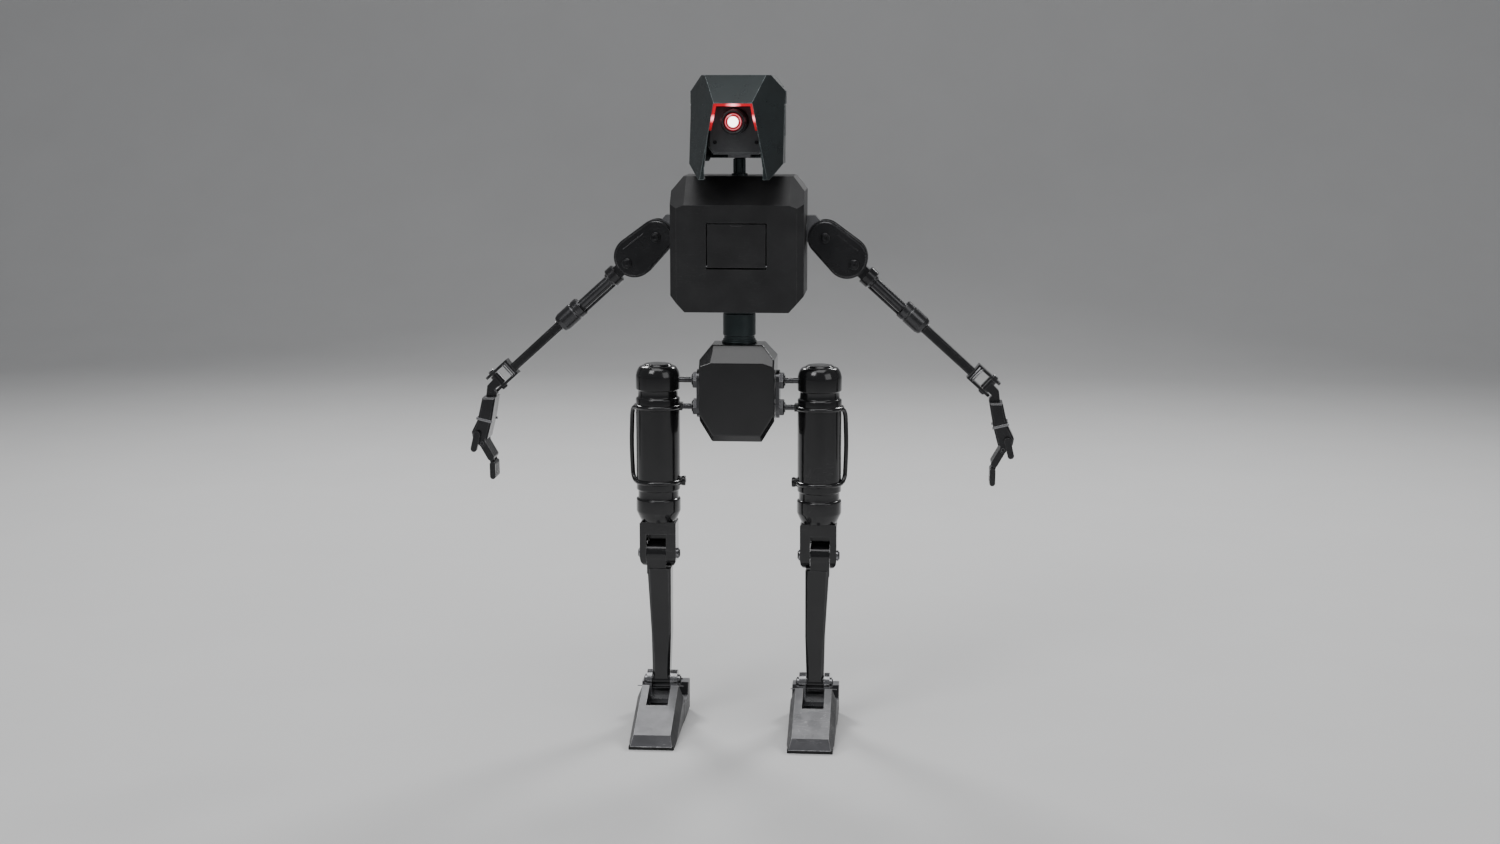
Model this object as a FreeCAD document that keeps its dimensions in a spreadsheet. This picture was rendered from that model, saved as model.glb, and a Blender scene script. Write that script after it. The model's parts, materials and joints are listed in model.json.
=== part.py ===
import FreeCAD, Part
import Sketcher
import os, math

V = FreeCAD.Vector
R = FreeCAD.Rotation
PL = FreeCAD.Placement
os.makedirs("parts", exist_ok=True)
doc = FreeCAD.newDocument("humanoid_kit")
sheet = doc.addObject("Spreadsheet::Sheet", "dims")

# every driving size of the robot, millimetres; the robot faces -Y, Z is up
DIMS = {
    "shell_wall": 3.0, "joint_gap": 0.5, "bore_clear": 0.05,
    "pelvis_half": 34.3, "pelvis_foot_half": 22.7, "pelvis_low": 269.4, "pelvis_corner_low": 288.5,
    "pelvis_corner_high": 344.4, "pelvis_top": 357.7, "pelvis_top_half": 23.5,
    "pelvis_front": -5.0, "pelvis_rear": 47.0, "pelvis_split": 20.0,
    "column_radius": 15.0, "column_y": 30.0, "column_top": 388.0, "column_pin": 8.0,
    "torso_half": 60.5, "torso_low": 388.5, "torso_low_half": 47.2, "torso_corner_low": 403.0,
    "torso_corner_high": 497.0, "torso_top_half": 50.0, "torso_top": 510.0, "torso_front": -5.0,
    "torso_edge": 484.9, "torso_split": 21.0, "torso_rear": 78.0,
    "hatch_half": 26.3, "hatch_low": 428.5, "hatch_high": 467.9, "hatch_gap": 1.1, "hatch_thick": 3.0,
    "hatch_pin_radius": 0.8,
    "neck_y": 36.0, "neck_radius": 5.5, "neck_top": 526.0, "neck_pin": 3.0,
    "trunnion_z": 541.0, "trunnion_radius": 3.0,
    "hood_half": 42.0, "hood_top": 600.2, "hood_top_half": 31.0, "hood_shoulder": 587.0,
    "hood_side_low": 522.0, "hood_tip": 509.0, "hood_front": -41.0, "hood_brow": 576.0,
    "hood_crown": -11.0, "hood_rear": 68.0,
    "lens_z": 559.6, "lens_front": -38.0, "barrel_radius": 11.0, "lens_radius": 8.0,
    "camera_half": 25.0, "camera_low": 530.2, "camera_front": -8.0, "camera_rear": 16.0,
    "arm_y": 50.0, "arm_angle": 42.2, "shoulder_x": 78.0, "shoulder_z": 453.0, "pitch_z": 461.9,
    "bracket_in": 60.9, "bracket_half": 6.5, "plate_in": 7.0, "plate_out": 10.0,
    "plate_small": 16.2, "plate_big": 19.0, "plate_span": 27.3, "elbow_u": 36.1, "arm_pin": 3.0,
    "collar_radius": 9.2, "collar_start": 50.0, "collar_end": 59.0, "tube_radius": 5.0,
    "sleeve_start": 96.5, "sleeve_end": 124.4, "blade_end": 184.0, "wrist_u": 203.0, "wrist_v": 1.6,
    "hip_axis_z": 311.2, "leg_y": 20.0, "can_x": 74.7, "can_radius": 20.3, "stud_radius": 2.5,
    "stud_high": 323.6, "stud_low": 298.9, "knee_z": 160.0, "knee_lobe": 12.0, "knee_pin": 3.0,
    "fork_in": 57.6, "fork_out": 91.3, "slot_in": 66.8, "slot_out": 85.3,
    "shank_in": 62.6, "shank_out": 84.6, "shank_low_in": 64.0, "shank_low_out": 80.3,
    "ankle_y": 16.0, "ankle_z": 39.0, "ankle_pin": 3.0, "foot_x": 71.5, "foot_half": 21.5,
    "toe_front": -78.0, "wedge_rear": -2.0, "heel_rear": 53.0, "heel_top": 31.0, "sole_thick": 3.0,
}
for i, (k, v) in enumerate(DIMS.items(), 1):
    sheet.set("A%d" % i, k)
    sheet.set("B%d" % i, "%g" % v)
    sheet.setAlias("B%d" % i, k)
doc.recompute()


class N:
    """number with the sheet formula it comes from"""
    def __init__(s, v, e=None):
        s.v = float(v)
        s.e = e if e is not None else "%.9g" % v
    def __add__(s, o): o = num(o); return N(s.v + o.v, "(%s + %s)" % (s.e, o.e))
    def __radd__(s, o): return num(o) + s
    def __sub__(s, o): o = num(o); return N(s.v - o.v, "(%s - %s)" % (s.e, o.e))
    def __rsub__(s, o): return num(o) - s
    def __mul__(s, o): o = num(o); return N(s.v * o.v, "(%s * %s)" % (s.e, o.e))
    def __rmul__(s, o): return num(o) * s
    def __truediv__(s, o): o = num(o); return N(s.v / o.v, "(%s / %s)" % (s.e, o.e))
    def __neg__(s): return N(-s.v, "(0 - %s)" % s.e)


def num(x):
    return x if isinstance(x, N) else N(x)


class Dims:
    def __getattr__(s, k):
        return N(DIMS[k], "dims." + k)


d = Dims()


def bind(o, prop, val):
    val = num(val)
    if "dims." in val.e:
        o.setExpression(prop, val.e)
    else:
        setattr(o, prop, val.v)


def place(o, at, rot=None, frame=None):
    at = [num(a) for a in at]
    p = PL(V(*[a.v for a in at]), rot or R())
    if frame is not None:
        o.Placement = frame.multiply(p)
        return
    o.Placement = p
    for ax, a in zip("xyz", at):
        if "dims." in a.e:
            o.setExpression("Placement.Base." + ax, a.e)


ROLE = {"xy": "XY_Plane", "xz": "XZ_Plane", "yz": "YZ_Plane"}


def sketch(body, name, plane):
    sk = body.newObject("Sketcher::SketchObject", name)
    sk.AttachmentSupport = [([f for f in body.Origin.OriginFeatures if f.Role == ROLE[plane]][0], "")]
    sk.MapMode = "FlatFace"
    return sk


def polygon(sk, pts):
    p = [(num(x), num(y)) for x, y in pts]
    n = len(p)
    g0 = sk.addGeometry([Part.LineSegment(V(p[i][0].v, p[i][1].v, 0), V(p[(i + 1) % n][0].v, p[(i + 1) % n][1].v, 0)) for i in range(n)], False)[0]
    sk.addConstraint([Sketcher.Constraint("Coincident", g0 + i, 2, g0 + (i + 1) % n, 1) for i in range(n)])
    for i in range(n):
        for ax, q in (("DistanceX", p[i][0]), ("DistanceY", p[i][1])):
            k = sk.addConstraint(Sketcher.Constraint(ax, -1, 1, g0 + i, 1, q.v))
            if "dims." in q.e:
                sk.setExpression("Constraints[%d]" % k, q.e)


def circle(sk, cx, cy, r):
    cx, cy, r = num(cx), num(cy), num(r)
    g = sk.addGeometry(Part.Circle(V(cx.v, cy.v, 0), V(0, 0, 1), r.v), False)
    for con, q in ((Sketcher.Constraint("DistanceX", -1, 1, g, 3, cx.v), cx), (Sketcher.Constraint("DistanceY", -1, 1, g, 3, cy.v), cy), (Sketcher.Constraint("Radius", g, r.v), r)):
        k = sk.addConstraint(con)
        if "dims." in q.e:
            sk.setExpression("Constraints[%d]" % k, q.e)


def prism(name, plane, pts, length, at=(0, 0, 0), rot=None, frame=None, holes=()):
    """outline in a plane, grown equally to both sides of it"""
    b = doc.addObject("PartDesign::Body", name)
    sk = sketch(b, name + "_outline", plane)
    polygon(sk, pts)
    for c in holes:
        circle(sk, *c)
    pad = b.newObject("PartDesign::Pad", name + "_pad")
    pad.Profile = sk
    bind(pad, "Length", length)
    pad.SideType = "Symmetric"
    place(b, at, rot, frame)
    return b


def lathe(name, pts, at=(0, 0, 0), rot=None, frame=None):
    """half outline (radius, height) turned about the local Z axis"""
    b = doc.addObject("PartDesign::Body", name)
    sk = sketch(b, name + "_half", "xz")
    polygon(sk, pts)
    rv = b.newObject("PartDesign::Revolution", name + "_turn")
    rv.Profile = sk
    rv.ReferenceAxis = (sk, ["V_Axis"])
    rv.Angle = 360
    place(b, at, rot, frame)
    return b


ALONG = {"z": R(), "x": R(V(0, 1, 0), 90), "y": R(V(1, 0, 0), -90)}


def cyl(name, r, length, at, along="z", frame=None):
    """cylinder centred on a point"""
    o = doc.addObject("Part::Cylinder", name)
    bind(o, "Radius", r)
    bind(o, "Height", length)
    at = [num(a) for a in at]
    k = "xyz".index(along)
    at[k] = at[k] - num(length) / 2
    place(o, at, ALONG[along], frame)
    return o


def box(name, lx, ly, lz, at, frame=None):
    """box centred on a point"""
    o = doc.addObject("Part::Box", name)
    for p, q in (("Length", lx), ("Width", ly), ("Height", lz)):
        bind(o, p, q)
    place(o, [num(a) - num(q) / 2 for a, q in zip(at, (lx, ly, lz))], None, frame)
    return o


def fuse(name, *objs):
    o = doc.addObject("Part::MultiFuse", name)
    o.Shapes = list(objs)
    o.Refine = True
    return o


def common(name, *objs):
    o = doc.addObject("Part::MultiCommon", name)
    o.Shapes = list(objs)
    return o


def cut(name, base, *tools):
    o = doc.addObject("Part::Cut", name)
    o.Base = base
    o.Tool = tools[0] if len(tools) == 1 else fuse(name + "_tools", *tools)
    return o


def bevel(name, obj, size, pick, kind="Chamfer"):
    """break the edges chosen by pick(edge)"""
    doc.recompute()
    o = doc.addObject("Part::" + kind, name)
    o.Base = obj
    o.Edges = [(i, size, size) for i, e in enumerate(obj.Shape.Edges, 1) if pick(e)]
    return o


def facets(name, at, normal, inset=0.0):
    """pair of blocks outside a slanted facet on the left and on the right"""
    pair = []
    for tag, sgn in (("left", 1), ("right", -1)):
        n = V(sgn * normal[0], normal[1], normal[2])
        n.normalize()
        r = R(V(0, 0, 1), n)
        o = doc.addObject("Part::Box", name + "_" + tag)
        o.Length, o.Width, o.Height = 240, 240, 80
        p = V(sgn * at[0], at[1], at[2]) - n * inset
        o.Placement = PL(p + r.multVec(V(-120, -120, 0)), r)
        pair.append(o)
    return pair


def mirror_x(pts):
    """close an outline given for the +X side only"""
    return list(pts) + [(-num(x), y) for x, y in reversed(pts) if num(x).v > 1e-9]


def mid(e):
    return e.BoundBox.Center


NODES = {}


def node(name, obj):
    obj.Label = name
    NODES[name] = obj
    return obj


# ---------------------------------------------------------------- pelvis
p_out = mirror_x([(d.pelvis_foot_half, d.pelvis_low), (d.pelvis_half, d.pelvis_corner_low), (d.pelvis_half, d.pelvis_corner_high), (d.pelvis_top_half, d.pelvis_top)])
w = d.shell_wall
p_in = mirror_x([(d.pelvis_foot_half - 1.6, d.pelvis_low + w), (d.pelvis_half - w, d.pelvis_corner_low + 1), (d.pelvis_half - w, d.pelvis_corner_high - 1), (d.pelvis_top_half - 1.4, d.pelvis_top - w)])
p_side = [(d.pelvis_front, 276.0), (d.pelvis_front + 6, d.pelvis_low), (d.pelvis_rear - 6, d.pelvis_low), (d.pelvis_rear, 276.0), (d.pelvis_rear, 346.0), (d.pelvis_rear - 9, d.pelvis_top), (d.pelvis_front + 12, d.pelvis_top), (d.pelvis_front + 8, 352.7), (d.pelvis_front, 342.0)]
pel_hi = ((24.0, DIMS["pelvis_front"], 342.0), (0.207, -0.764, 0.610))
pel_lo = ((25.1, DIMS["pelvis_front"], 281.1), (0.70, -0.57, -0.426))
pel = common("pelvis_block", prism("pelvis_front_view", "xz", p_out, 160), prism("pelvis_side_view", "yz", p_side, 160))
pel = bevel("pelvis_solid", cut("pelvis_cornered", pel, *facets("pelvis_corner", *pel_hi), *facets("pelvis_foot_corner", *pel_lo)), 2.0, lambda e: mid(e).y < 20 and e.BoundBox.YMin < 10 and abs(mid(e).x) > 1 or (mid(e).y < 12 and e.BoundBox.XLength > 20), "Fillet")
p_side_in = [(d.pelvis_front + w, 277.0), (d.pelvis_front + 7, 260.0), (d.pelvis_rear - 7, 260.0), (d.pelvis_rear - w, 277.0), (d.pelvis_rear - w, 345.0), (d.pelvis_rear - 10.5, d.pelvis_top - w), (d.pelvis_front + 13, d.pelvis_top - w), (d.pelvis_front + 10, 350.8), (d.pelvis_front + w, 341.0)]
pel_cav = common("pelvis_cavity_block", prism("pelvis_cavity_front", "xz", p_in, 160), prism("pelvis_cavity_side", "yz", p_side_in, 160))
pel_cav = cut("pelvis_cavity", pel_cav, *facets("pelvis_cavity_corner", pel_hi[0], pel_hi[1], 3.0), *facets("pelvis_cavity_foot", pel_lo[0], pel_lo[1], 3.0))
hip_hole = cyl("hip_bore", 5 + d.bore_clear, 90, (0, d.leg_y, d.hip_axis_z), "x")
col_hole = cyl("column_hole", 8.0, 20, (0, d.column_y, d.pelvis_top), "z")
pel_sh = cut("pelvis_hollow", pel, pel_cav, hip_hole, col_hole)
ps = d.pelvis_split
node("pelvis_shell_front", common("pelvis_shell_front", pel_sh, box("pelvis_front_half", 90, ps + 30, 120, (0, (ps - 30) / 2, 313))))
node("pelvis_shell_rear", common("pelvis_shell_rear", pel_sh, box("pelvis_rear_half", 90, 80 - ps, 120, (0, (ps + 80) / 2, 313))))
inner_h = 2 * (d.pelvis_half - w)
frm = box("pelvis_frame_block", inner_h, 30, 24, (0, d.leg_y, d.hip_axis_z))
frm_up = box("pelvis_frame_post", 20, 12.8, d.pelvis_top - w - d.hip_axis_z - 10, (0, d.column_y, (d.pelvis_top - w + d.hip_axis_z + 10) / 2))
bl = box("pelvis_frame_rib_front", 20, d.pelvis_rear - d.pelvis_front - 2 * w, 8, (0, (d.pelvis_rear + d.pelvis_front) / 2, d.hip_axis_z))
node("pelvis_frame", cut("pelvis_frame", fuse("pelvis_frame_solid", frm, frm_up, bl), cyl("pelvis_frame_bore", 5 + d.bore_clear, 90, (0, d.leg_y, d.hip_axis_z), "x")))

# waist column with its bearing pin
cr = d.column_radius
node("waist_column", lathe("waist_column", [(0, 354.7), (8.0, 354.7), (8.0, d.pelvis_top), (cr, d.pelvis_top), (cr, 361.0), (cr - 0.9, 361.8), (cr - 0.9, 364.0), (cr, 364.8), (cr, d.column_top - 4), (cr - 1.2, d.column_top - 3), (cr - 1.2, d.column_top), (d.column_pin, d.column_top), (d.column_pin, 400.0), (0, 400.0)], (0, d.column_y, 0)))

# ---------------------------------------------------------------- torso
t_out = mirror_x([(d.torso_low_half, d.torso_low), (d.torso_half, d.torso_corner_low), (d.torso_half, d.torso_corner_high), (d.torso_top_half, d.torso_top)])
t_in = mirror_x([(d.torso_low_half - 1.4, d.torso_low + w), (d.torso_half - w, d.torso_corner_low + 1), (d.torso_half - w, d.torso_corner_high - 1), (d.torso_top_half - 1.4, d.torso_top - w)])
t_side = [(d.torso_front, d.torso_low), (d.torso_rear - 8, d.torso_low), (d.torso_rear, d.torso_low + 9), (d.torso_rear, d.torso_top - 12), (d.torso_rear - 11, d.torso_top), (d.torso_split, d.torso_top), (d.torso_front, d.torso_edge)]
t_side_in = [(d.torso_front + w, d.torso_low), (d.torso_rear - 9, d.torso_low), (d.torso_rear - w, d.torso_low + 10), (d.torso_rear - w, d.torso_top - 13), (d.torso_rear - 12, d.torso_top), (d.torso_split + 1, d.torso_top - w - 1), (d.torso_front + w, d.torso_edge - 2)]
t_plan = mirror_x([(d.torso_half - 6, d.torso_front), (d.torso_half, d.torso_front + 6), (d.torso_half, d.torso_rear - 10), (d.torso_half - 10, d.torso_rear)])
tor_at, tor_n = (47.5, DIMS["torso_front"], DIMS["torso_edge"]), (0.252, -0.672, 0.696)
tor = common("torso_block", prism("torso_front_view", "xz", t_out, 200), prism("torso_side_view", "yz", t_side, 200), prism("torso_plan", "xy", t_plan, 1200))
t_plan_in = mirror_x([(d.torso_half - 7.2, d.torso_front + w), (d.torso_half - w, d.torso_front + 7.2), (d.torso_half - w, d.torso_rear - 11.2), (d.torso_half - 11.2, d.torso_rear - w)])
tor = cut("torso_solid", tor, *facets("torso_corner", tor_at, tor_n))
tor_cav = common("torso_cavity_block", prism("torso_cavity_front", "xz", t_in, 200), prism("torso_cavity_side", "yz", t_side_in, 200), prism("torso_cavity_plan", "xy", t_plan_in, 1200))
tor_cav = cut("torso_cavity", tor_cav, *facets("torso_cavity_corner", tor_at, tor_n, 3.0))
hz = (d.hatch_low + d.hatch_high) / 2
hatch_hole = box("hatch_opening", 2 * (d.hatch_half + d.hatch_gap), 20, d.hatch_high - d.hatch_low + 2 * d.hatch_gap, (0, d.torso_front, hz))
hinge_z = d.hatch_low + 1.6
hinge_y = d.torso_front + 1.6
hinge_bore = cyl("hatch_pin_seat", d.hatch_pin_radius, 2 * d.hatch_half + 5, (0, hinge_y, hinge_z), "x")
pin_hole = cyl("waist_pin_bore", d.column_pin + d.bore_clear, 20, (0, d.column_y, d.torso_low), "z")
neck_hole = cyl("neck_seat", 4.0, 20, (0, d.neck_y, d.torso_top), "z")
sh_hole = cyl("shoulder_bore", 5 + d.bore_clear, 140, (0, d.arm_y, d.pitch_z), "x")
tor_sh = cut("torso_hollow", tor, tor_cav, hatch_hole, hinge_bore, pin_hole, neck_hole, sh_hole)
ts = d.torso_split
node("torso_front_shell", common("torso_front_shell", tor_sh, box("torso_front_half", 140, ts + 30, 200, (0, (ts - 30) / 2, 450))))
node("torso_rear_shell", common("torso_rear_shell", tor_sh, box("torso_rear_half", 140, 100 - ts, 200, (0, (ts + 100) / 2, 450))))

# hinged chest hatch
ht = d.hatch_thick
door = prism("hatch_plate", "yz", [(0, 1.0), (0, d.hatch_high - d.hatch_low), (ht, d.hatch_high - d.hatch_low), (ht, 1.6), (2.6, 0.4), (1.6, 0.0), (0.5, 0.3)], 2 * d.hatch_half, (0, d.torso_front, d.hatch_low))
grip = box("hatch_finger_notch", 10, 1.2, 3, (0, d.torso_front, d.hatch_high))
node("chest_hatch", cut("chest_hatch", door, cyl("hatch_bore", d.hatch_pin_radius + d.bore_clear, 80, (0, hinge_y, hinge_z), "x"), grip))
node("hatch_pin", cyl("hatch_pin", d.hatch_pin_radius, 2 * d.hatch_half + 5, (0, hinge_y, hinge_z), "x"))

# power pack and control board inside the chest
bat = box("battery_block", 62, 24, 62, (0, d.torso_rear - w - 12, 440))
node("battery_pack", bevel("battery_pack", bat, 2.0, lambda e: abs(mid(e).y - 63) < 30 and e.BoundBox.XLength < 0.1 and e.BoundBox.ZLength < 0.1, "Fillet"))
brd = box("board_sheet", 56, 1.6, 50, (0, 45.0, 440))
standoffs = [cyl("board_leg_%d" % i, 2.5, 5.6, (sx * 24, 48.2, 440 + sz * 21), "y") for i, (sx, sz) in enumerate(((1, 1), (-1, 1), (1, -1), (-1, -1)))]
chips = [box("board_chip_a", 16, 2, 16, (0, 43.4, 444)), box("board_chip_b", 22, 4, 7, (-10, 42.6, 422)), box("board_chip_c", 8, 3, 12, (18, 43.0, 450))]
node("controller_board", fuse("controller_board", brd, *standoffs, *chips))

# ---------------------------------------------------------------- neck and head
nr = d.neck_radius
node("neck_post", lathe("neck_post", [(0, 500), (4.0, 500), (4.0, d.torso_top), (nr + 2, d.torso_top), (nr + 2, 511.6), (nr, 512.4), (nr, d.neck_top - 1), (nr - 1, d.neck_top), (d.neck_pin, d.neck_top), (d.neck_pin, 538.0), (0, 538.0)], (0, d.neck_y, 0)))
sw = box("swivel_block", 20, 18, 24, (0, d.neck_y, 538.4))
tr = cyl("swivel_trunnion", d.trunnion_radius, 38, (0, d.neck_y, d.trunnion_z), "x")
swb = cyl("swivel_bore", d.neck_pin + d.bore_clear, 26, (0, d.neck_y, 526), "z")
node("neck_swivel", cut("neck_swivel", fuse("swivel_solid", sw, tr), swb))
frame_plan = prism("head_frame_solid", "xy", mirror_x([(21, d.camera_rear), (24, d.camera_rear + 4), (24, 56), (20, 60)]), 34, (0, 0, 549))
hood_bar = cyl("hood_cross_bar", 3.0, 71.2, (0, 44, 558), "x")
frame_open = cut("head_frame_open", frame_plan, box("head_frame_well", 21.2, 33, 60, (0, 37, 549)))
node("head_frame", cut("head_frame", fuse("head_frame_joined", frame_open, hood_bar), cyl("head_frame_bore", d.trunnion_radius + d.bore_clear, 60, (0, d.neck_y, d.trunnion_z), "x")))

h_out = mirror_x([(26.0, d.hood_tip), (31.5, d.hood_tip), (d.hood_half, d.hood_side_low), (d.hood_half, d.hood_shoulder), (d.hood_top_half, d.hood_top)])
h_in = mirror_x([(22.0, 500.5), (30.0, 506.0), (d.hood_half - w, d.hood_side_low - 2), (d.hood_half - w, d.hood_shoulder - 1), (d.hood_top_half - 1.2, d.hood_top - w)])
h_side = [(d.hood_front + 6, d.hood_tip), (-18, d.hood_tip), (-4, d.hood_side_low), (d.hood_rear - 6, d.hood_side_low), (d.hood_rear, 530), (d.hood_rear, 588), (d.hood_rear - 12, d.hood_top), (d.hood_crown, d.hood_top), (d.hood_front, d.hood_brow)]
h_side_in = [(d.hood_front + 9, 500), (60, 500), (d.hood_rear - w, 530), (d.hood_rear - w, 587), (d.hood_rear - 13, d.hood_top - w), (d.hood_crown + 1.2, d.hood_top - w), (d.hood_front + 4, d.hood_brow - 2)]
# the cheeks lean back and in towards the crown
cheek_at, cheek_n = (16.8, DIMS["hood_front"], DIMS["hood_brow"]), (1, -0.475, 0.155)
h_plan = mirror_x([(d.hood_half, d.hood_front), (d.hood_half, 32.0), (38.9, 33.5), (38.9, 56.0), (30.0, d.hood_rear)])
h_plan_in = mirror_x([(d.hood_half - w - 0.4, d.hood_front + w), (d.hood_half - w - 0.4, 30.0), (35.6, 32.0), (35.6, 55.0), (28.6, d.hood_rear - w)])


hood = cut("hood_solid", common("hood_block", prism("hood_front_view", "xz", h_out, 200), prism("hood_side_view", "yz", h_side, 200), prism("hood_plan", "xy", h_plan, 1300)), *facets("hood_cheek", cheek_at, cheek_n))
hood_cav = cut("hood_cavity", common("hood_cavity_block", prism("hood_cavity_front", "xz", h_in, 200), prism("hood_cavity_side", "yz", h_side_in, 200), prism("hood_cavity_plan", "xy", h_plan_in, 1300)), *facets("hood_cavity_cheek", cheek_at, cheek_n, 3.0))
face_hole = prism("face_opening", "xz", mirror_x([(26.2, 500.0), (25.8, 518.0), (22.5, 546.0), (17.0, d.hood_brow - 0.6)]), 60, (0, -40, 0))
front_gap = box("hood_floor_open", 2 * 25.9, 46, 40, (0, -30, 500))
hsh = cut("hood_hollow", hood, hood_cav, face_hole, front_gap)
node("head_hood", hsh)

cam_pts = mirror_x([(20.0, d.camera_low), (d.camera_half, d.camera_low + 6.5), (d.camera_half, 579.0), (20.0, 584.0)])
cam_len = d.camera_rear - d.camera_front
cam = prism("camera_block_solid", "xz", cam_pts, cam_len, (0, (d.camera_rear + d.camera_front) / 2, 0))
cam_b = bevel("camera_block_edges", cam, 2.0, lambda e: abs(mid(e).y + 8) < 0.2 and abs(e.BoundBox.YLength) < 0.01)
node("camera_housing", cut("camera_housing", cam_b, cyl("barrel_seat", d.barrel_radius - 2, 10, (0, d.camera_front, d.lens_z), "y")))
TURN_Y = R(V(1, 0, 0), 90)
br = d.barrel_radius
lens_len = d.camera_front - d.lens_front
node("lens_barrel", lathe("lens_barrel", [(0, -5), (br - 2, -5), (br - 2, 0), (br, 0), (br, 8), (br - 0.8, 8.8), (br - 0.8, 10), (br, 10.8), (br, lens_len - 1.2), (br - 1.0, lens_len), (8.6, lens_len), (8.0, lens_len - 3), (0, lens_len - 3)], (0, d.camera_front, d.lens_z), TURN_Y))
node("eye_lens", lathe("eye_lens", [(0, lens_len - 3), (7.9, lens_len - 3), (7.9, lens_len - 1.6), (5.2, lens_len - 0.4), (0, lens_len)], (0, d.camera_front, d.lens_z), TURN_Y))
g_out = mirror_x([(25.8, 550.0 - 27), (25.6, 520.0), (22.4, 546.0), (16.9, d.hood_brow - 0.7)])
guide_o = prism("guide_outer", "xz", mirror_x([(21.3, 552.0), (16.95, d.hood_brow - 0.6)]), 3.0, (0, -35.4, 0))
guide_i = prism("guide_inner", "xz", mirror_x([(19.7, 540.0), (19.4, 552.0), (15.0, d.hood_brow - 2.9)]), 12, (0, -36.6, 0))
node("light_guide", cut("light_guide", guide_o, guide_i))

# ---------------------------------------------------------------- left arm
ANG = DIMS["arm_angle"]
ARM = PL(V(DIMS["shoulder_x"], DIMS["arm_y"], DIMS["shoulder_z"]), R(V(0, 1, 0), ANG))
ca, sa = math.cos(math.radians(ANG)), math.sin(math.radians(ANG))
LEFT = []


def left(name, obj):
    node("left_" + name, obj)
    LEFT.append(name)
    return obj


bi = d.bracket_in
bh = d.bracket_half
br_body = prism("bracket_web", "xz", [(bi, 449.5), (69.0, 444.6), (73.0, 443.4), (86.0, 449.0), (86.0, 457.0), (80.0, 461.4), (69.0, 473.4), (bi, 473.4)], 2 * bh, (0, d.arm_y, 0))
br_shaft = cyl("bracket_shaft", 5, 14, (bi - 6.0, d.arm_y, d.pitch_z), "x")
br_nose = cyl("bracket_knuckle", 9.0, 2 * bh, (d.shoulder_x, d.arm_y, d.shoulder_z), "y")
left("shoulder_bracket", cut("shoulder_bracket", fuse("bracket_solid", br_body, br_shaft, br_nose), cyl("bracket_bore", d.arm_pin + d.bore_clear, 40, (d.shoulder_x, d.arm_y, d.shoulder_z), "y")))


def stadium(name, r1, r2, u1, u2, y0, y1):
    """rounded link of two radii in the arm frame, from y0 to y1"""
    length = y1 - y0
    ym = (num(y0) + num(y1)) / 2
    a = cyl(name + "_a", r1, length, (u1, ym, 0), "y", ARM)
    b = cyl(name + "_b", r2, length, (u2, ym, 0), "y", ARM)
    r1, r2, u1, u2 = num(r1), num(r2), num(u1), num(u2)
    D = u2.v - u1.v
    s = (r1.v - r2.v) / D
    c = math.sqrt(1 - s * s)
    m = prism(name + "_m", "xz", [(u1 + r1 * s, r1 * c), (u2 + r2 * s, r2 * c), (u2 + r2 * s, -(r2 * c)), (u1 + r1 * s, -(r1 * c))], length, (0, ym, 0), None, ARM)
    return fuse(name, a, b, m)


rs, rb, us = d.plate_small, d.plate_big, d.plate_span
sides = []
for tag, s in (("front", -1), ("rear", 1)):
    y_in, y_out = s * d.plate_in, s * d.plate_out
    lo, hi = (y_out, y_in) if s < 0 else (y_in, y_out)
    base = stadium("plate_%s_base" % tag, rs, rb, 0, us, lo, hi)
    lo2, hi2 = (y_out - 2.4, y_out) if s < 0 else (y_out, y_out + 2.4)
    rim = stadium("plate_%s_rim" % tag, rs - 1.3, rb - 1.3, 0, us, lo2, hi2)
    solid = fuse("plate_%s_solid" % tag, base, rim)
    sides.append(bevel("plate_%s_edges" % tag, solid, 0.7, lambda e, s=s: abs(abs(mid(e).y - 50) - 12.4) < 0.05 and e.BoundBox.YLength < 0.01))
core = box("arm_core_block", 12.0, 2 * d.plate_in, 26, (17.4, 0, 0), ARM)
holes = [cyl("arm_bore_a", d.arm_pin, 60, (0, 0, 0), "y", ARM), cyl("arm_bore_b", d.arm_pin, 60, (d.elbow_u, 0, 0), "y", ARM)]
left("upper_arm", cut("upper_arm", fuse("upper_arm_solid", core, *sides), *holes))
for tag, u in (("shoulder", 0), ("elbow", d.elbow_u)):
    left(tag + "_pin", lathe(tag + "_pin", [(0, -14.6), (4.2, -14.6), (4.6, -14.2), (4.6, -12.4), (d.arm_pin, -12.4), (d.arm_pin, 12.4), (4.6, 12.4), (4.6, 14.2), (4.2, 14.6), (0, 14.6)], (u, 0, 0), ALONG["y"], ARM))
UX = ALONG["x"]
kn = cyl("elbow_knuckle", 8.2, 2 * bh, (d.elbow_u, 0, 0), "y", ARM)
kb = box("elbow_tongue", 15, 2 * bh, 12, (d.elbow_u + 8.4, 0, 0), ARM)
co = lathe("elbow_collar", [(0, d.collar_start), (d.collar_radius - 0.8, d.collar_start), (d.collar_radius, d.collar_start + 0.8), (d.collar_radius, d.collar_end - 0.8), (d.collar_radius - 0.8, d.collar_end), (0, d.collar_end)], (0, 0, 0), UX, ARM)
left("elbow_knuckle", cut("elbow_knuckle_part", fuse("elbow_knuckle_solid", kn, kb, co), cyl("elbow_bore", d.arm_pin + d.bore_clear, 40, (d.elbow_u, 0, 0), "y", ARM)))
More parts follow.
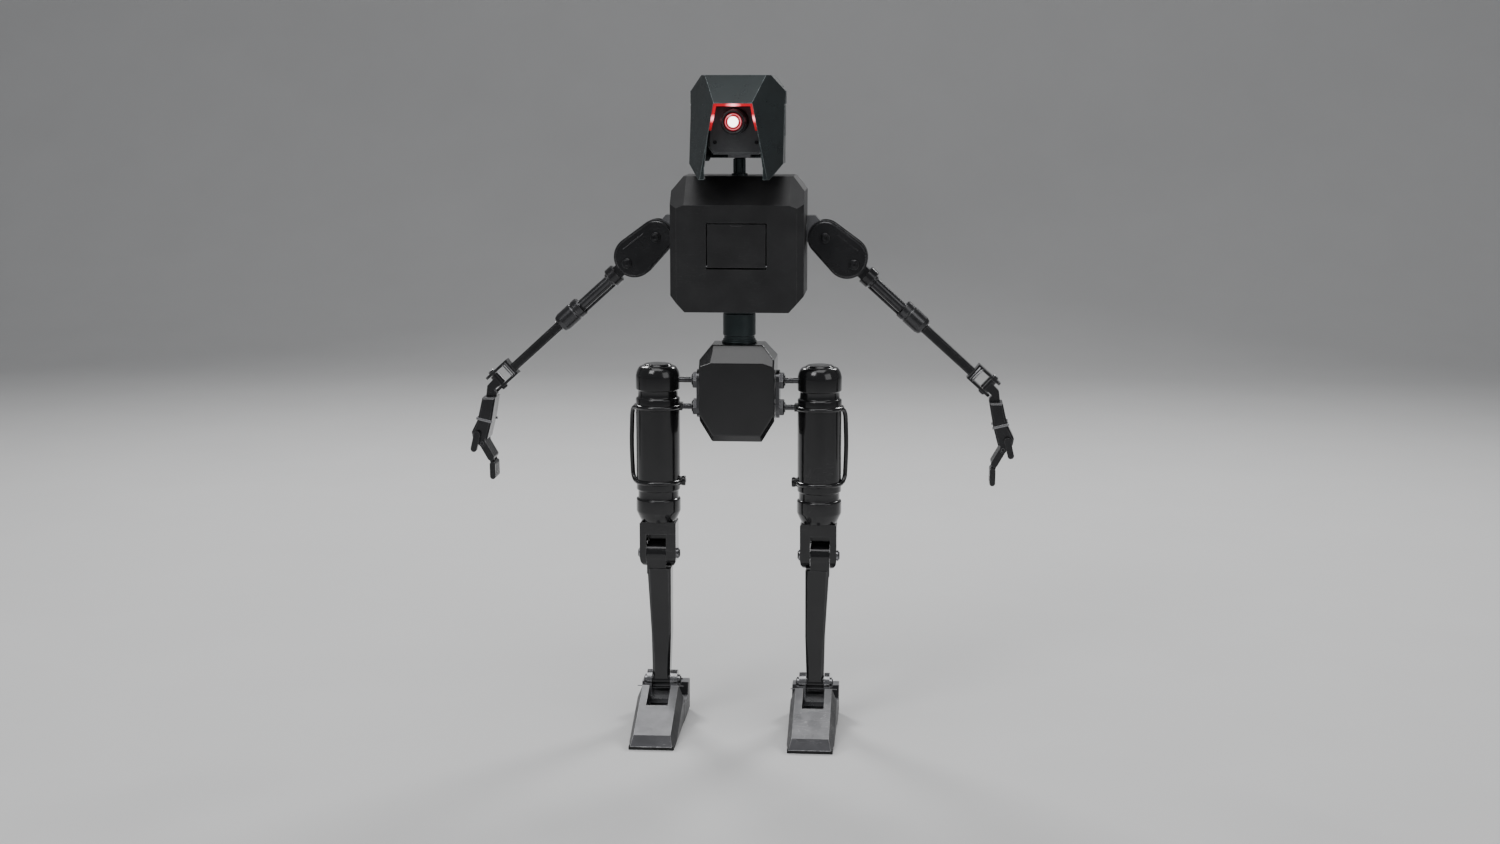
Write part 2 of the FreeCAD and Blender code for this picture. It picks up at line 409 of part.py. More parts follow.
left("forearm_tube", lathe("forearm_tube", [(0, d.collar_end), (d.tube_radius + 1.6, d.collar_end), (d.tube_radius + 1.6, d.collar_end + 2), (d.tube_radius, d.collar_end + 3), (d.tube_radius, d.sleeve_start), (8.2, d.sleeve_start), (9.2, d.sleeve_start + 1), (9.2, d.sleeve_start + 6), (8.6, d.sleeve_start + 6.8), (8.6, d.sleeve_start + 8), (9.2, d.sleeve_start + 8.8), (9.2, d.sleeve_end - 5), (8.0, d.sleeve_end - 1.6), (5.8, d.sleeve_end), (0, d.sleeve_end)], (0, 0, 0), UX, ARM))
bla = prism("blade_bar", "xz", [(d.sleeve_end, -4.2), (d.sleeve_end, 4.2), (d.blade_end, 4.0), (d.blade_end, -4.0)], 12, (0, 0, 0), None, ARM)
bla_b = bevel("blade_edges", bla, 1.2, lambda e: e.Length > 40)
wu, wv = d.wrist_u, d.wrist_v
wf = [box("wrist_bridge", 4.0, 13, 17.4, (d.blade_end + 1.8, 0, wv), ARM), box("wrist_ear_upper", 27, 13, 2.6, (d.blade_end + 13.0, 0, wv + 7.4), ARM), box("wrist_ear_lower", 27, 13, 2.6, (d.blade_end + 13.0, 0, wv - 7.4), ARM)]
w_pin = lathe("wrist_pin", [(0, -10.2), (3.2, -10.2), (3.2, -8.0), (2.0, -8.0), (2.0, 8.0), (3.2, 8.0), (3.2, 10.2), (0, 10.2)], (wu, 0, wv), R(), ARM)
wfb = bevel("wrist_fork_edges", fuse("wrist_fork_solid", *wf), 2.5, lambda e: abs(e.Length - 2.6) < 0.05 and (e.CenterOfMass - ARM.multVec(V(d.blade_end.v, 0, 1.6))).Length > 20)
left("forearm_blade", fuse("forearm_blade", bla_b, wfb, w_pin))

# hand: palm, two rows of finger phalanges, thumb
wx, wz = 78 + 203 * ca + 1.6 * sa, 453 - 203 * sa + 1.6 * ca
pk = cyl("palm_knuckle", 4.6, 11.4, (wu, 0, wv), "z", ARM)
def arm_xz(u, v):
    """arm frame to robot frame"""
    return 78 + u * ca + v * sa, 453 - u * sa + v * ca


pl = prism("palm_link", "xz", [arm_xz(203, 5.0), arm_xz(214.0, 4.0), (240.4, 302.5), (240.4, 299.0), (231.0, 299.0), arm_xz(212.2, -7.5), arm_xz(212.2, -3.4), arm_xz(203, -3.4)], 9, (0, d.arm_y, 0))
pm = prism("palm_plate", "xz", [(230.3, 302.0), (242.7, 302.0), (247.5, 281.0), (253.6, 269.0), (252.4, 262.5), (238.8, 262.5), (236.8, 270.0), (234.2, 280.0)], 26, (0, d.arm_y, 0))
pmb = bevel("palm_edges", pm, 1.6, lambda e: e.BoundBox.YLength < 0.01 and abs(abs(mid(e).y - 50) - 13) < 0.05 and mid(e).z > 264)


def capsule(name, x0, z0, x1, z1, r, y, ly):
    """straight link in the hand plane with round ends"""
    L = math.hypot(x1 - x0, z1 - z0)
    nx, nz = (z1 - z0) / L * r, -(x1 - x0) / L * r
    a = cyl(name + "_a", r, ly, (x0, y, z0), "y")
    b = cyl(name + "_b", r, ly, (x1, y, z1), "y")
    m = prism(name + "_m", "xz", [(x0 + nx, z0 + nz), (x1 + nx, z1 + nz), (x1 - nx, z1 - nz), (x0 - nx, z0 - nz)], ly, (0, y, 0))
    return fuse(name, a, b, m)


KX, KZ = 243.6, 258.4
TX, TZ = 234.6, 238.0
yy = [-8.7, -2.9, 2.9, 8.7]
clr = d.bore_clear
lugs = [capsule("palm_lug_%d" % i, KX + 1.0, 267.0, KX, KZ, 3.2, 50 + y, 1.4) for i, y in enumerate((-12.3, 12.3))]
thx, thz = 247.5, 267.5
p_cuts = [cyl("palm_bore", 2.0 + clr, 40, (wu, 0, wv), "z", ARM), cyl("palm_shaft_bore", 1.6 + clr, 60, (KX, 50, KZ), "y"), cyl("thumb_bore", 1.4 + clr, 12, (thx, 37, thz), "y")]
left("palm", cut("palm", fuse("palm_solid", pk, pl, pmb, *lugs), *p_cuts))
bars = [capsule("finger_base_%d" % i, KX, KZ, 236.0, 245.0, 3.2, 50 + y, 5.0) for i, y in enumerate(yy)]
shaft = cyl("finger_base_shaft", 1.6, 26, (KX, 50, KZ), "y")
webs = [capsule("finger_web_%d" % i, 237.0, 247.0, TX, TZ, 2.3, 50 + y, 1.4) for i, y in enumerate((-5.8, 0, 5.8))]
left("finger_bases", cut("finger_bases", fuse("finger_bases_solid", shaft, *(bars + webs)), cyl("finger_tip_bore", 1.2 + clr, 40, (TX, 50, TZ), "y")))
tips = [capsule("finger_tip_%d" % i, TX, TZ, TX - 0.2, 226.6, 2.7, 50 + y, 3.6) for i, y in enumerate(yy)]
shaft2 = cyl("finger_tip_shaft", 1.2, 21, (TX, 50, TZ), "y")
left("finger_tips", fuse("finger_tips", shaft2, *tips))
th = capsule("thumb_link", thx, thz, 250.6, 254.0, 3.0, 34.4, 4.6)
left("thumb", fuse("thumb", th, cyl("thumb_root", 1.4, 8.0, (thx, 38.4, thz), "y")))

# ---------------------------------------------------------------- left leg
ly, hzx = d.leg_y, d.hip_axis_z
pi = d.pelvis_half + d.joint_gap
hp_a = cyl("hip_plate_high", 10, 3.2, (pi + 1.6, ly, d.stud_high), "x")
hp_b = cyl("hip_plate_low", 10, 3.2, (pi + 1.6, ly, d.stud_low), "x")
hp_m = box("hip_plate_mid", 3.2, 20, d.stud_high - d.stud_low, (pi + 1.6, ly, (d.stud_high + d.stud_low) / 2))
hp_s = cyl("hip_shaft", 5, 14, (pi - 6.0, ly, hzx), "x")
hip_parts = [hp_a, hp_b, hp_m, hp_s]
hexr = 8.0
cx = d.can_x
cr_ = d.can_radius
for tag, z, reach in (("high", d.stud_high, cx - cr_ + 2.0), ("low", d.stud_low, cx - cr_ - 0.2)):
    hexa = prism("stud_%s_hex" % tag, "yz", [(hexr * math.cos(math.radians(a)), hexr * math.sin(math.radians(a))) for a in range(0, 360, 60)], 4.2, (pi + 3.2 + 2.1, ly, z))
    hexb = bevel("stud_%s_hex_edges" % tag, hexa, 0.8, lambda e: e.BoundBox.XLength < 0.01 and mid(e).x > 40)
    rod = cyl("stud_%s_rod" % tag, d.stud_radius, reach - (pi + 5), ((reach + pi + 5) / 2, ly, z), "x")
    hip_parts += [hexb, rod]
left("hip_bracket", fuse("hip_bracket", *hip_parts))
cb = cr_ + 0.3
can = lathe("thigh_can_turned", [(0, 191.4), (16.0, 191.4), (cb, 200.7), (cb, 212.2), (cr_ - 0.9, 213.4), (cr_ - 1.5, 213.4), (cr_ - 1.5, 220.4), (cr_, 221.4), (cr_, 307.0), (cr_ - 1.9, 308.0), (cr_ - 1.9, 314.8), (cr_, 314.8), (cr_, 326.0), (cr_ - 1.2, 331.0), (cr_ - 3.6, 335.7), (14.6, 338.4), (0, 338.4)], (cx, ly, 0))
left("thigh_can", cut("thigh_can", can, cyl("thigh_top_seat", d.stud_radius, 12, (cx - cr_, ly, d.stud_high), "x")))
cage = []
cage_cut = []
for tag, z in (("upper", 299.0), ("lower", 229.0)):
    ring = cyl("clamp_%s_ring" % tag, cr_ + 1.5, 5.4, (cx, ly, z), "z")
    lug = box("clamp_%s_lug" % tag, 7.0, 11, 5.4, (cx + cr_ + 2.8, ly, z))
    lug2 = box("clamp_%s_inner_lug" % tag, 4.0, 9, 7.0, (cx - cr_ - 1.4, ly, z))
    parts = [ring, lug, lug2]
    if tag == "lower":
        parts.append(cyl("clamp_lower_knob", 4.2, 4.6, (cx - cr_ - 4.6, ly, z), "x"))
    cage += parts
cage_cut.append(cyl("clamp_bore", cr_, 120, (cx, ly, 264), "z"))
rodp = lathe("bail_rod", [(0, 221.6), (3.4, 221.6), (3.8, 222.2), (3.8, 226.3), (2.4, 226.3), (2.4, 301.7), (3.8, 301.7), (3.8, 305.6), (3.4, 306.2), (0, 306.2)], (98.3, ly, 0))
left("thigh_cage", cut("thigh_cage", fuse("thigh_cage_solid", rodp, *cage), cage_cut[0], cyl("clamp_rod_seat", d.stud_radius, 8, (cx - cr_ - 3.0, ly, d.stud_low), "x")))
kz, kl = d.knee_z, d.knee_lobe
kf = prism("fork_block", "xz", [(d.fork_in, kz), (d.fork_in, 190.2), (d.fork_in + 1.2, 191.4), (d.fork_out - 1.2, 191.4), (d.fork_out, 190.2), (d.fork_out, kz)], 2 * kl, (0, ly, 0))
kx = (d.fork_in + d.fork_out) / 2
kfl = cyl("fork_lobe", kl, d.fork_out - d.fork_in, (kx, ly, kz), "x")
kslot = box("fork_slot", d.slot_out - d.slot_in, 40, 52, ((d.slot_out + d.slot_in) / 2, ly, 146))
kpocket = box("fork_pocket", d.slot_out - d.slot_in, 20, 20, ((d.slot_out + d.slot_in) / 2, 16, 170))
kshape = prism("fork_outline", "xz", [(d.fork_in + 6.5, 147.9), (d.fork_in + 2.6, 149.6), (d.fork_in + 0.6, 153.0), (d.fork_in, 157.0), (d.fork_in, 200), (d.fork_out, 200), (d.fork_out, 157.0), (d.fork_out - 0.6, 153.0), (d.fork_out - 2.6, 149.6), (d.fork_out - 6.5, 147.9)], 60, (0, ly, 0))
kseat = cyl("fork_seat", d.knee_pin, 60, (kx, ly, kz), "x")
left("knee_fork", cut("knee_fork", common("fork_trimmed", fuse("fork_solid", kf, kfl), kshape), kslot, kpocket, kseat))
left("knee_pin", lathe("knee_pin", [(0, -18.6), (4.6, -18.6), (5.0, -18.2), (5.0, d.fork_in - kx), (d.knee_pin, d.fork_in - kx), (d.knee_pin, d.fork_out - kx), (5.0, d.fork_out - kx), (5.0, 18.2), (4.6, 18.6), (0, 18.6)], (kx, ly, kz), UX))
kt0, kt1 = d.slot_in + 0.4, d.slot_out - 0.4
tongue = cyl("shank_knuckle", 11.0, kt1 - kt0, ((kt0 + kt1) / 2, ly, kz), "x")
tong2 = box("shank_neck", kt1 - kt0, 20, 18, ((kt0 + kt1) / 2, ly, kz - 9))
leg = prism("shank_bar", "xz", [(d.shank_in, 147.2), (62.8, 84.5), (d.shank_low_in, 48.5), (d.shank_low_in, d.ankle_z), (d.shank_low_out, d.ankle_z), (d.shank_low_out, 48.5), (81.0, 84.5), (d.shank_out, 147.2)], 23, (0, ly, 0))
leg_side = prism("shank_side_view", "yz", [(ly - 11.5, 147.4), (ly - 10.5, 84), (d.ankle_y - 8, 52), (d.ankle_y - 8, d.ankle_z - 1), (d.ankle_y + 8, d.ankle_z - 1), (d.ankle_y + 8, 52), (ly + 10, 84), (ly + 11.5, 147.4)], 240)
leg_c = bevel("shank_edges", leg, 2.4, lambda e: e.BoundBox.ZLength > 20 and e.BoundBox.YLength < 0.01)
leg_b = common("shank_blank", leg_c, leg_side)
foot_end = cyl("shank_foot_knuckle", 8.0, d.shank_low_out - d.shank_low_in, ((d.shank_low_out + d.shank_low_in) / 2, d.ankle_y, d.ankle_z), "x")
left("shank", cut("shank", fuse("shank_solid", leg_b, tongue, tong2, foot_end), cyl("shank_knee_bore", d.knee_pin + d.bore_clear, 60, (kx, ly, kz), "x"), cyl("shank_ankle_bore", d.ankle_pin + d.bore_clear, 60, (kx, d.ankle_y, d.ankle_z), "x")))

# ankle bracket and foot
ay, az = d.ankle_y, d.ankle_z
e0, e1 = 57.3, 85.6
ear = prism("ankle_block", "yz", [(ay - 13, 20), (ay + 13, 20), (ay + 13, 26), (ay + 9, az), (ay - 9, az), (ay - 13, 26)], e1 - e0, ((e0 + e1) / 2, 0, 0))
earc = cyl("ankle_rounding", 9.4, e1 - e0, ((e0 + e1) / 2, ay, az), "x")
gap = box("ankle_gap", 17.4, 40, 50, (72.15, ay, 24 + 25))
gapc = cyl("ankle_seat", d.ankle_pin, 50, (72, ay, az), "x")
left("ankle_bracket", cut("ankle_bracket", fuse("ankle_solid", ear, earc), gap, gapc))
left("ankle_pin", lathe("ankle_pin", [(0, 55.0), (5.0, 55.0), (5.0, e0), (d.ankle_pin, e0), (d.ankle_pin, e1), (5.0, e1), (5.0, 87.8), (0, 87.8)], (0, ay, az), UX))
fx, fh, st = d.foot_x, d.foot_half, d.sole_thick
prof = [(d.toe_front, st), (d.toe_front + 8, 11.7), (d.wedge_rear, 38.4), (d.wedge_rear, 20), (31, 20), (36, d.heel_top), (d.heel_rear - 3, d.heel_top), (d.heel_rear, d.heel_top - 4), (d.heel_rear, st)]
fside = prism("foot_side_view", "yz", prof, 60, (fx, 0, 0))
f_taper = prism("foot_front_section", "xz", [(-fh, 0), (-fh, 3.4), (-fh + 5, 11.7), (-fh + 5, 60), (fh - 5, 60), (fh - 5, 11.7), (fh, 3.4), (fh, 0)], 76, (fx, -40, 0))
f_slope = prism("foot_wedge_section", "xz", [(-fh, 0), (-fh, 26.4), (-fh + 5, 38.4), (fh - 5, 38.4), (fh, 26.4), (fh, 0)], 120, (0, 0, 0))
heel_box = box("foot_rear_block", 2 * fh + 1, 56, 60, (fx, 26, 30))
fplan = prism("foot_plan", "xy", [(-fh, d.toe_front), (-fh, -2), (-fh - 0.5, 4), (-fh - 0.5, d.heel_rear - 3), (-fh + 3, d.heel_rear), (fh - 3, d.heel_rear), (fh + 0.5, d.heel_rear - 3), (fh + 0.5, 4), (fh, -2), (fh, d.toe_front)], 200, (fx, 0, 0))
foot = common("foot_blank", fside, fplan)
# the long side bevels run down the slope of the wedge
slope = math.degrees(math.atan2(38.4 - 11.7, 68.0))
TILT = R(V(1, 0, 0), slope)
side_cuts = []
for tag, sgn in (("in", -1), ("out", 1)):
    c = prism("wedge_bevel_" + tag, "xz", [(sgn * (fh - 5.0), 0.2), (sgn * (fh + 0.4), -12.0), (sgn * (fh + 9), -12.0), (sgn * (fh + 9), 9), (sgn * (fh - 5.0), 9)], 100)
    place(c, (fx.v, -49.0, 20.4), TILT)
    side_cuts.append(c)
slot = box("ankle_well", 20, 34.4, 40, (fx + 0.3, -30 + 17.2, 18 + 20))
slot2 = box("ankle_floor", 34, 5.0, 50, (fx, 33.0, 20 + 25))
left("foot_shell", cut("foot_shell", foot, *side_cuts, slot))
sole = prism("sole_sheet", "xy", [(-fh + 1, d.toe_front + 1), (-fh + 1, 0), (-fh + 0.5, d.heel_rear - 4), (-fh + 4, d.heel_rear - 1), (fh - 4, d.heel_rear - 1), (fh - 0.5, d.heel_rear - 4), (fh - 1, 0), (fh - 1, d.toe_front + 1)], st, (fx, 0, st / 2))
left("sole_pad", sole)

# ---------------------------------------------------------------- right limbs
for nm in LEFT:
    m = doc.addObject("Part::Mirroring", "right_" + nm)
    m.Source = NODES["left_" + nm]
    m.Normal = V(1, 0, 0)
    node("right_" + nm, m)
doc.recompute()

# every piece is one sound solid before it is written
bad = [o.Name for o in doc.Objects if "Invalid" in o.State or "Error" in o.State]
for name, o in NODES.items():
    sh = o.Shape
    if sh.isNull() or not sh.isValid() or len(sh.Solids) != 1:
        bad.append("%s solids=%d valid=%s" % (name, 0 if sh.isNull() else len(sh.Solids), (not sh.isNull()) and sh.isValid()))
print("nodes", len(NODES), "bad", bad)
if bad:
    raise SystemExit(1)
for f in os.listdir("parts"):
    if f.endswith(".step"):
        os.remove(os.path.join("parts", f))
for name, o in NODES.items():
    o.Shape.exportStep("parts/%s.step" % name)
bb = FreeCAD.BoundBox()
for o in NODES.values():
    bb.add(o.Shape.BoundBox)
print(bb)
if bad:
    raise SystemExit(1)
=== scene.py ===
import bpy, bmesh, json, math
from mathutils import Vector, Matrix


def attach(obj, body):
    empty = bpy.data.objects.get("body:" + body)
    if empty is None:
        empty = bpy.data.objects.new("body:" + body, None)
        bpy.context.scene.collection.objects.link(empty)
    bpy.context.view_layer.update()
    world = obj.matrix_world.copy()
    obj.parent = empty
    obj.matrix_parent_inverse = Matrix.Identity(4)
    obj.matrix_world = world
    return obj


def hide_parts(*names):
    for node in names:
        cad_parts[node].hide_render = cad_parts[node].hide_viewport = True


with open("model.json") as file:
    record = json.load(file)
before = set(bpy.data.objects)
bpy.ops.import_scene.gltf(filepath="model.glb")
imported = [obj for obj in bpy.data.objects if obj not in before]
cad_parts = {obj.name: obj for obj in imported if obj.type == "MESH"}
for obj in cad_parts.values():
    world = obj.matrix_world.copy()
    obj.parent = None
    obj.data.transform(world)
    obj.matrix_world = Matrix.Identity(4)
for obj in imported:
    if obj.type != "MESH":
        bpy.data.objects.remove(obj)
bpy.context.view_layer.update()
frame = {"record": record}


# ------------------------------------------------------------------ materials
def new_mat(name):
    m = bpy.data.materials.new(name)
    m.use_nodes = True
    nt = m.node_tree
    nt.nodes.clear()
    out = nt.nodes.new("ShaderNodeOutputMaterial")
    bs = nt.nodes.new("ShaderNodeBsdfPrincipled")
    nt.links.new(bs.outputs[0], out.inputs[0])
    return m, nt, bs


def ramp(nt, src, stops):
    r = nt.nodes.new("ShaderNodeValToRGB")
    el = r.color_ramp.elements
    while len(el) < len(stops):
        el.new(0.5)
    for e, (p, c) in zip(el, stops):
        e.position = p
        e.color = (c[0], c[1], c[2], 1) if isinstance(c, tuple) else (c, c, c, 1)
    nt.links.new(src, r.inputs[0])
    return r


def mix_rgb(nt, fac, a, b):
    n = nt.nodes.new("ShaderNodeMix")
    n.data_type = "RGBA"
    for sock, v in ((n.inputs["Factor"], fac), (n.inputs[6], a), (n.inputs[7], b)):
        if hasattr(v, "is_output"):
            nt.links.new(v, sock)
        elif isinstance(v, (int, float)):
            sock.default_value = v
        else:
            sock.default_value = (v[0], v[1], v[2], 1)
    return n.outputs[2]


def math_n(nt, op, a, b=0.0, clamp=False):
    n = nt.nodes.new("ShaderNodeMath")
    n.operation = op
    n.use_clamp = clamp
    for i, v in enumerate((a, b)):
        if hasattr(v, "is_output"):
            nt.links.new(v, n.inputs[i])
        else:
            n.inputs[i].default_value = v
    return n.outputs[0]


def noise(nt, coord, scale, detail=4.0, rough=0.55, stretch=None):
    if stretch:
        mp = nt.nodes.new("ShaderNodeMapping")
        mp.inputs["Scale"].default_value = stretch
        nt.links.new(coord, mp.inputs[0])
        coord = mp.outputs[0]
    n = nt.nodes.new("ShaderNodeTexNoise")
    n.inputs["Scale"].default_value = scale
    n.inputs["Detail"].default_value = detail
    n.inputs["Roughness"].default_value = rough
    nt.links.new(coord, n.inputs["Vector"])
    return n.outputs[0]


def surface(name, dark, light, wear_and_glint_color, metallic, rough, rough2, coat=0.0, edge=0.0007, wear_and_glint_amount=0.8, grain=(1, 1, 1), grain_scale=900.0, bump=0.05, scratch=0.25, wear_metal=None):
    """worn coated surface: blotchy colour, fine grain, scratches and rubbed edges; the rubbed edges are real wear and
    also painted highlight glints along the edges
    """
    m, nt, bs = new_mat(name)
    tc = nt.nodes.new("ShaderNodeTexCoord")
    co = tc.outputs["Object"]
    big = noise(nt, co, 28.0, 5.0, 0.6)
    fine = noise(nt, co, grain_scale, 3.0, 0.6, grain)
    base = mix_rgb(nt, ramp(nt, big, [(0.35, 0.0), (0.68, 1.0)]).outputs[0], dark, light)
    base = mix_rgb(nt, math_n(nt, "MULTIPLY", fine, 0.35), base, dark)
    # hairline scratches
    sc = noise(nt, co, 60.0, 2.0, 0.4, (1.0, 1.0, 9.0))
    sc2 = ramp(nt, sc, [(0.492, 0.0), (0.5, 1.0), (0.508, 0.0)]).outputs[0]
    msk = ramp(nt, noise(nt, co, 11.0, 2.0), [(0.5, 0.0), (0.62, 1.0)]).outputs[0]
    sc3 = math_n(nt, "MULTIPLY", math_n(nt, "MULTIPLY", sc2, msk), scratch)
    # rubbed edges: real edge wear, also used as painted highlight glints along the edges
    bv = nt.nodes.new("ShaderNodeBevel")
    bv.samples = 4
    bv.inputs["Radius"].default_value = edge
    geo = nt.nodes.new("ShaderNodeNewGeometry")
    dt = nt.nodes.new("ShaderNodeVectorMath")
    dt.operation = "DOT_PRODUCT"
    nt.links.new(bv.outputs[0], dt.inputs[0])
    nt.links.new(geo.outputs["Normal"], dt.inputs[1])
    edge_wear_and_glint = ramp(nt, dt.outputs["Value"], [(0.9, 1.0), (0.992, 0.0)]).outputs[0]
    chip = ramp(nt, noise(nt, co, 130.0, 5.0, 0.65), [(0.36, 0.15), (0.6, 1.0)]).outputs[0]
    edge_wear_and_glint = math_n(nt, "MULTIPLY", math_n(nt, "MULTIPLY", edge_wear_and_glint, chip), wear_and_glint_amount)
    wear_and_glint_mask = math_n(nt, "MAXIMUM", edge_wear_and_glint, sc3, True)
    nt.links.new(mix_rgb(nt, wear_and_glint_mask, base, wear_and_glint_color), bs.inputs["Base Color"])
    bs.inputs["Metallic"].default_value = metallic
    if wear_metal is not None:
        nt.links.new(math_n(nt, "MULTIPLY_ADD", wear_and_glint_mask, wear_metal - metallic), bs.inputs["Metallic"])
        bs.inputs["Metallic"].links[0].from_node.inputs[2].default_value = metallic
    rr = nt.nodes.new("ShaderNodeMapRange")
    nt.links.new(noise(nt, co, 70.0, 6.0, 0.65), rr.inputs[0])
    rr.inputs["From Min"].default_value = 0.3
    rr.inputs["From Max"].default_value = 0.7
    rr.inputs["To Min"].default_value = rough
    rr.inputs["To Max"].default_value = rough2
    nt.links.new(rr.outputs[0], bs.inputs["Roughness"])
    bs.inputs["Coat Weight"].default_value = coat
    bs.inputs["Coat Roughness"].default_value = 0.12
    bp = nt.nodes.new("ShaderNodeBump")
    bp.inputs["Strength"].default_value = bump
    bp.inputs["Distance"].default_value = 0.0002
    nt.links.new(fine, bp.inputs["Height"])
    nt.links.new(bp.outputs[0], bs.inputs["Normal"])
    return m


# the rubbed-edge colour of each surface is real wear and also painted highlight glints along the edges, brightest on
# the hood and torso shells
MATS = {
    "shell_black": surface("shell_black", (0.018, 0.018, 0.019), (0.030, 0.030, 0.031), (0.16, 0.16, 0.165), 0.35, 0.33, 0.46, edge=0.0006, wear_and_glint_amount=0.55, bump=0.12),
    "hood_teal": surface("hood_teal", (0.009, 0.015, 0.016), (0.016, 0.025, 0.027), (0.34, 0.39, 0.40), 0.4, 0.24, 0.38, coat=0.2, edge=0.0009, wear_and_glint_amount=0.9, bump=0.08, scratch=0.5),
    "column_teal": surface("column_teal", (0.020, 0.030, 0.032), (0.034, 0.046, 0.048), (0.30, 0.33, 0.34), 0.5, 0.3, 0.42, edge=0.0005, wear_and_glint_amount=0.7),
    "frame_metal": surface("frame_metal", (0.20, 0.20, 0.21), (0.30, 0.30, 0.31), (0.6, 0.6, 0.6), 0.95, 0.34, 0.5, edge=0.0004, wear_and_glint_amount=0.6),
    "bright_steel": surface("bright_steel", (0.24, 0.24, 0.25), (0.36, 0.36, 0.37), (0.72, 0.72, 0.73), 1.0, 0.16, 0.3, edge=0.0004, wear_and_glint_amount=0.7, bump=0.04),
    "battery_case": surface("battery_case", (0.05, 0.055, 0.06), (0.08, 0.085, 0.09), (0.2, 0.2, 0.2), 0.0, 0.5, 0.65, wear_and_glint_amount=0.4),
    "board_green": surface("board_green", (0.008, 0.05, 0.02), (0.015, 0.09, 0.035), (0.35, 0.3, 0.12), 0.1, 0.3, 0.45, wear_and_glint_amount=0.3),
    "camera_grey": surface("camera_grey", (0.085, 0.09, 0.095), (0.14, 0.145, 0.15), (0.4, 0.4, 0.41), 0.4, 0.36, 0.5, edge=0.0006, wear_and_glint_amount=0.6, bump=0.12),
    "barrel_grey": surface("barrel_grey", (0.014, 0.014, 0.015), (0.026, 0.026, 0.028), (0.22, 0.22, 0.23), 0.5, 0.26, 0.38, edge=0.0005, wear_and_glint_amount=0.7),
    "arm_black": surface("arm_black", (0.022, 0.022, 0.024), (0.034, 0.034, 0.036), (0.40, 0.40, 0.41), 0.7, 0.18, 0.32, coat=0.3, edge=0.0005, wear_and_glint_amount=0.75, bump=0.06, scratch=0.3),
    "can_black": surface("can_black", (0.012, 0.012, 0.013), (0.018, 0.018, 0.019), (0.28, 0.28, 0.29), 0.5, 0.12, 0.22, coat=0.5, edge=0.0005, wear_and_glint_amount=0.6, bump=0.04, scratch=0.2),
    "pelvis_black": surface("pelvis_black", (0.012, 0.012, 0.013), (0.018, 0.018, 0.019), (0.18, 0.18, 0.18), 0.4, 0.12, 0.22, coat=0.55, edge=0.0006, wear_and_glint_amount=0.35, bump=0.03, scratch=0.15),
    "foot_grey": surface("foot_grey", (0.23, 0.23, 0.24), (0.36, 0.36, 0.37), (0.7, 0.7, 0.71), 0.9, 0.34, 0.52, edge=0.0008, wear_and_glint_amount=0.7, grain=(3.0, 0.12, 0.12), grain_scale=1500.0, bump=0.25, scratch=0.6),
    "tube_steel": surface("tube_steel", (0.060, 0.060, 0.063), (0.095, 0.095, 0.099), (0.5, 0.5, 0.51), 0.95, 0.2, 0.34, edge=0.0004, wear_and_glint_amount=0.7, bump=0.05, scratch=0.3),
    "stud_steel": surface("stud_steel", (0.085, 0.085, 0.09), (0.15, 0.15, 0.155), (0.6, 0.6, 0.61), 1.0, 0.18, 0.3, edge=0.0004, wear_and_glint_amount=0.7, bump=0.04),
    "screw_dark": surface("screw_dark", (0.028, 0.028, 0.030), (0.048, 0.048, 0.050), (0.42, 0.42, 0.42), 0.95, 0.24, 0.4, edge=0.0003, wear_and_glint_amount=0.8, bump=0.05),
    "sole_rubber": surface("sole_rubber", (0.012, 0.012, 0.012), (0.02, 0.02, 0.02), (0.06, 0.06, 0.06), 0.0, 0.7, 0.85, wear_and_glint_amount=0.3, bump=0.5, grain_scale=2500.0),
}


def lens_material():
    m, nt, bs = new_mat("lens_glass")
    tc = nt.nodes.new("ShaderNodeTexCoord")
    sub = nt.nodes.new("ShaderNodeVectorMath")
    sub.operation = "SUBTRACT"
    nt.links.new(tc.outputs["Object"], sub.inputs[0])
    sub.inputs[1].default_value = (0.0, 0.0, 0.5596)
    mul = nt.nodes.new("ShaderNodeVectorMath")
    mul.operation = "MULTIPLY"
    nt.links.new(sub.outputs[0], mul.inputs[0])
    mul.inputs[1].default_value = (1.0, 0.0, 1.0)
    ln = nt.nodes.new("ShaderNodeVectorMath")
    ln.operation = "LENGTH"
    nt.links.new(mul.outputs[0], ln.inputs[0])
    rad = math_n(nt, "MULTIPLY", ln.outputs["Value"], 100.0)
    grain_n = noise(nt, tc.outputs["Object"], 1800.0, 2.0)
    rad = math_n(nt, "ADD", rad, math_n(nt, "MULTIPLY", math_n(nt, "SUBTRACT", grain_n, 0.5), 0.02))
    col = ramp(nt, rad, [(0.44, (1.0, 0.92, 0.93)), (0.49, (0.60, 0.01, 0.03)), (0.62, (0.30, 0.004, 0.01)), (0.68, (1.0, 0.20, 0.24)), (0.74, (0.30, 0.01, 0.02))]).outputs[0]
    power = ramp(nt, rad, [(0.44, 1.0), (0.49, 0.10), (0.62, 0.05), (0.68, 0.26), (0.74, 0.05)]).outputs[0]
    nt.links.new(col, bs.inputs["Base Color"])
    nt.links.new(col, bs.inputs["Emission Color"])
    nt.links.new(math_n(nt, "MULTIPLY", power, 4.5), bs.inputs["Emission Strength"])
    bs.inputs["Roughness"].default_value = 0.08
    return m


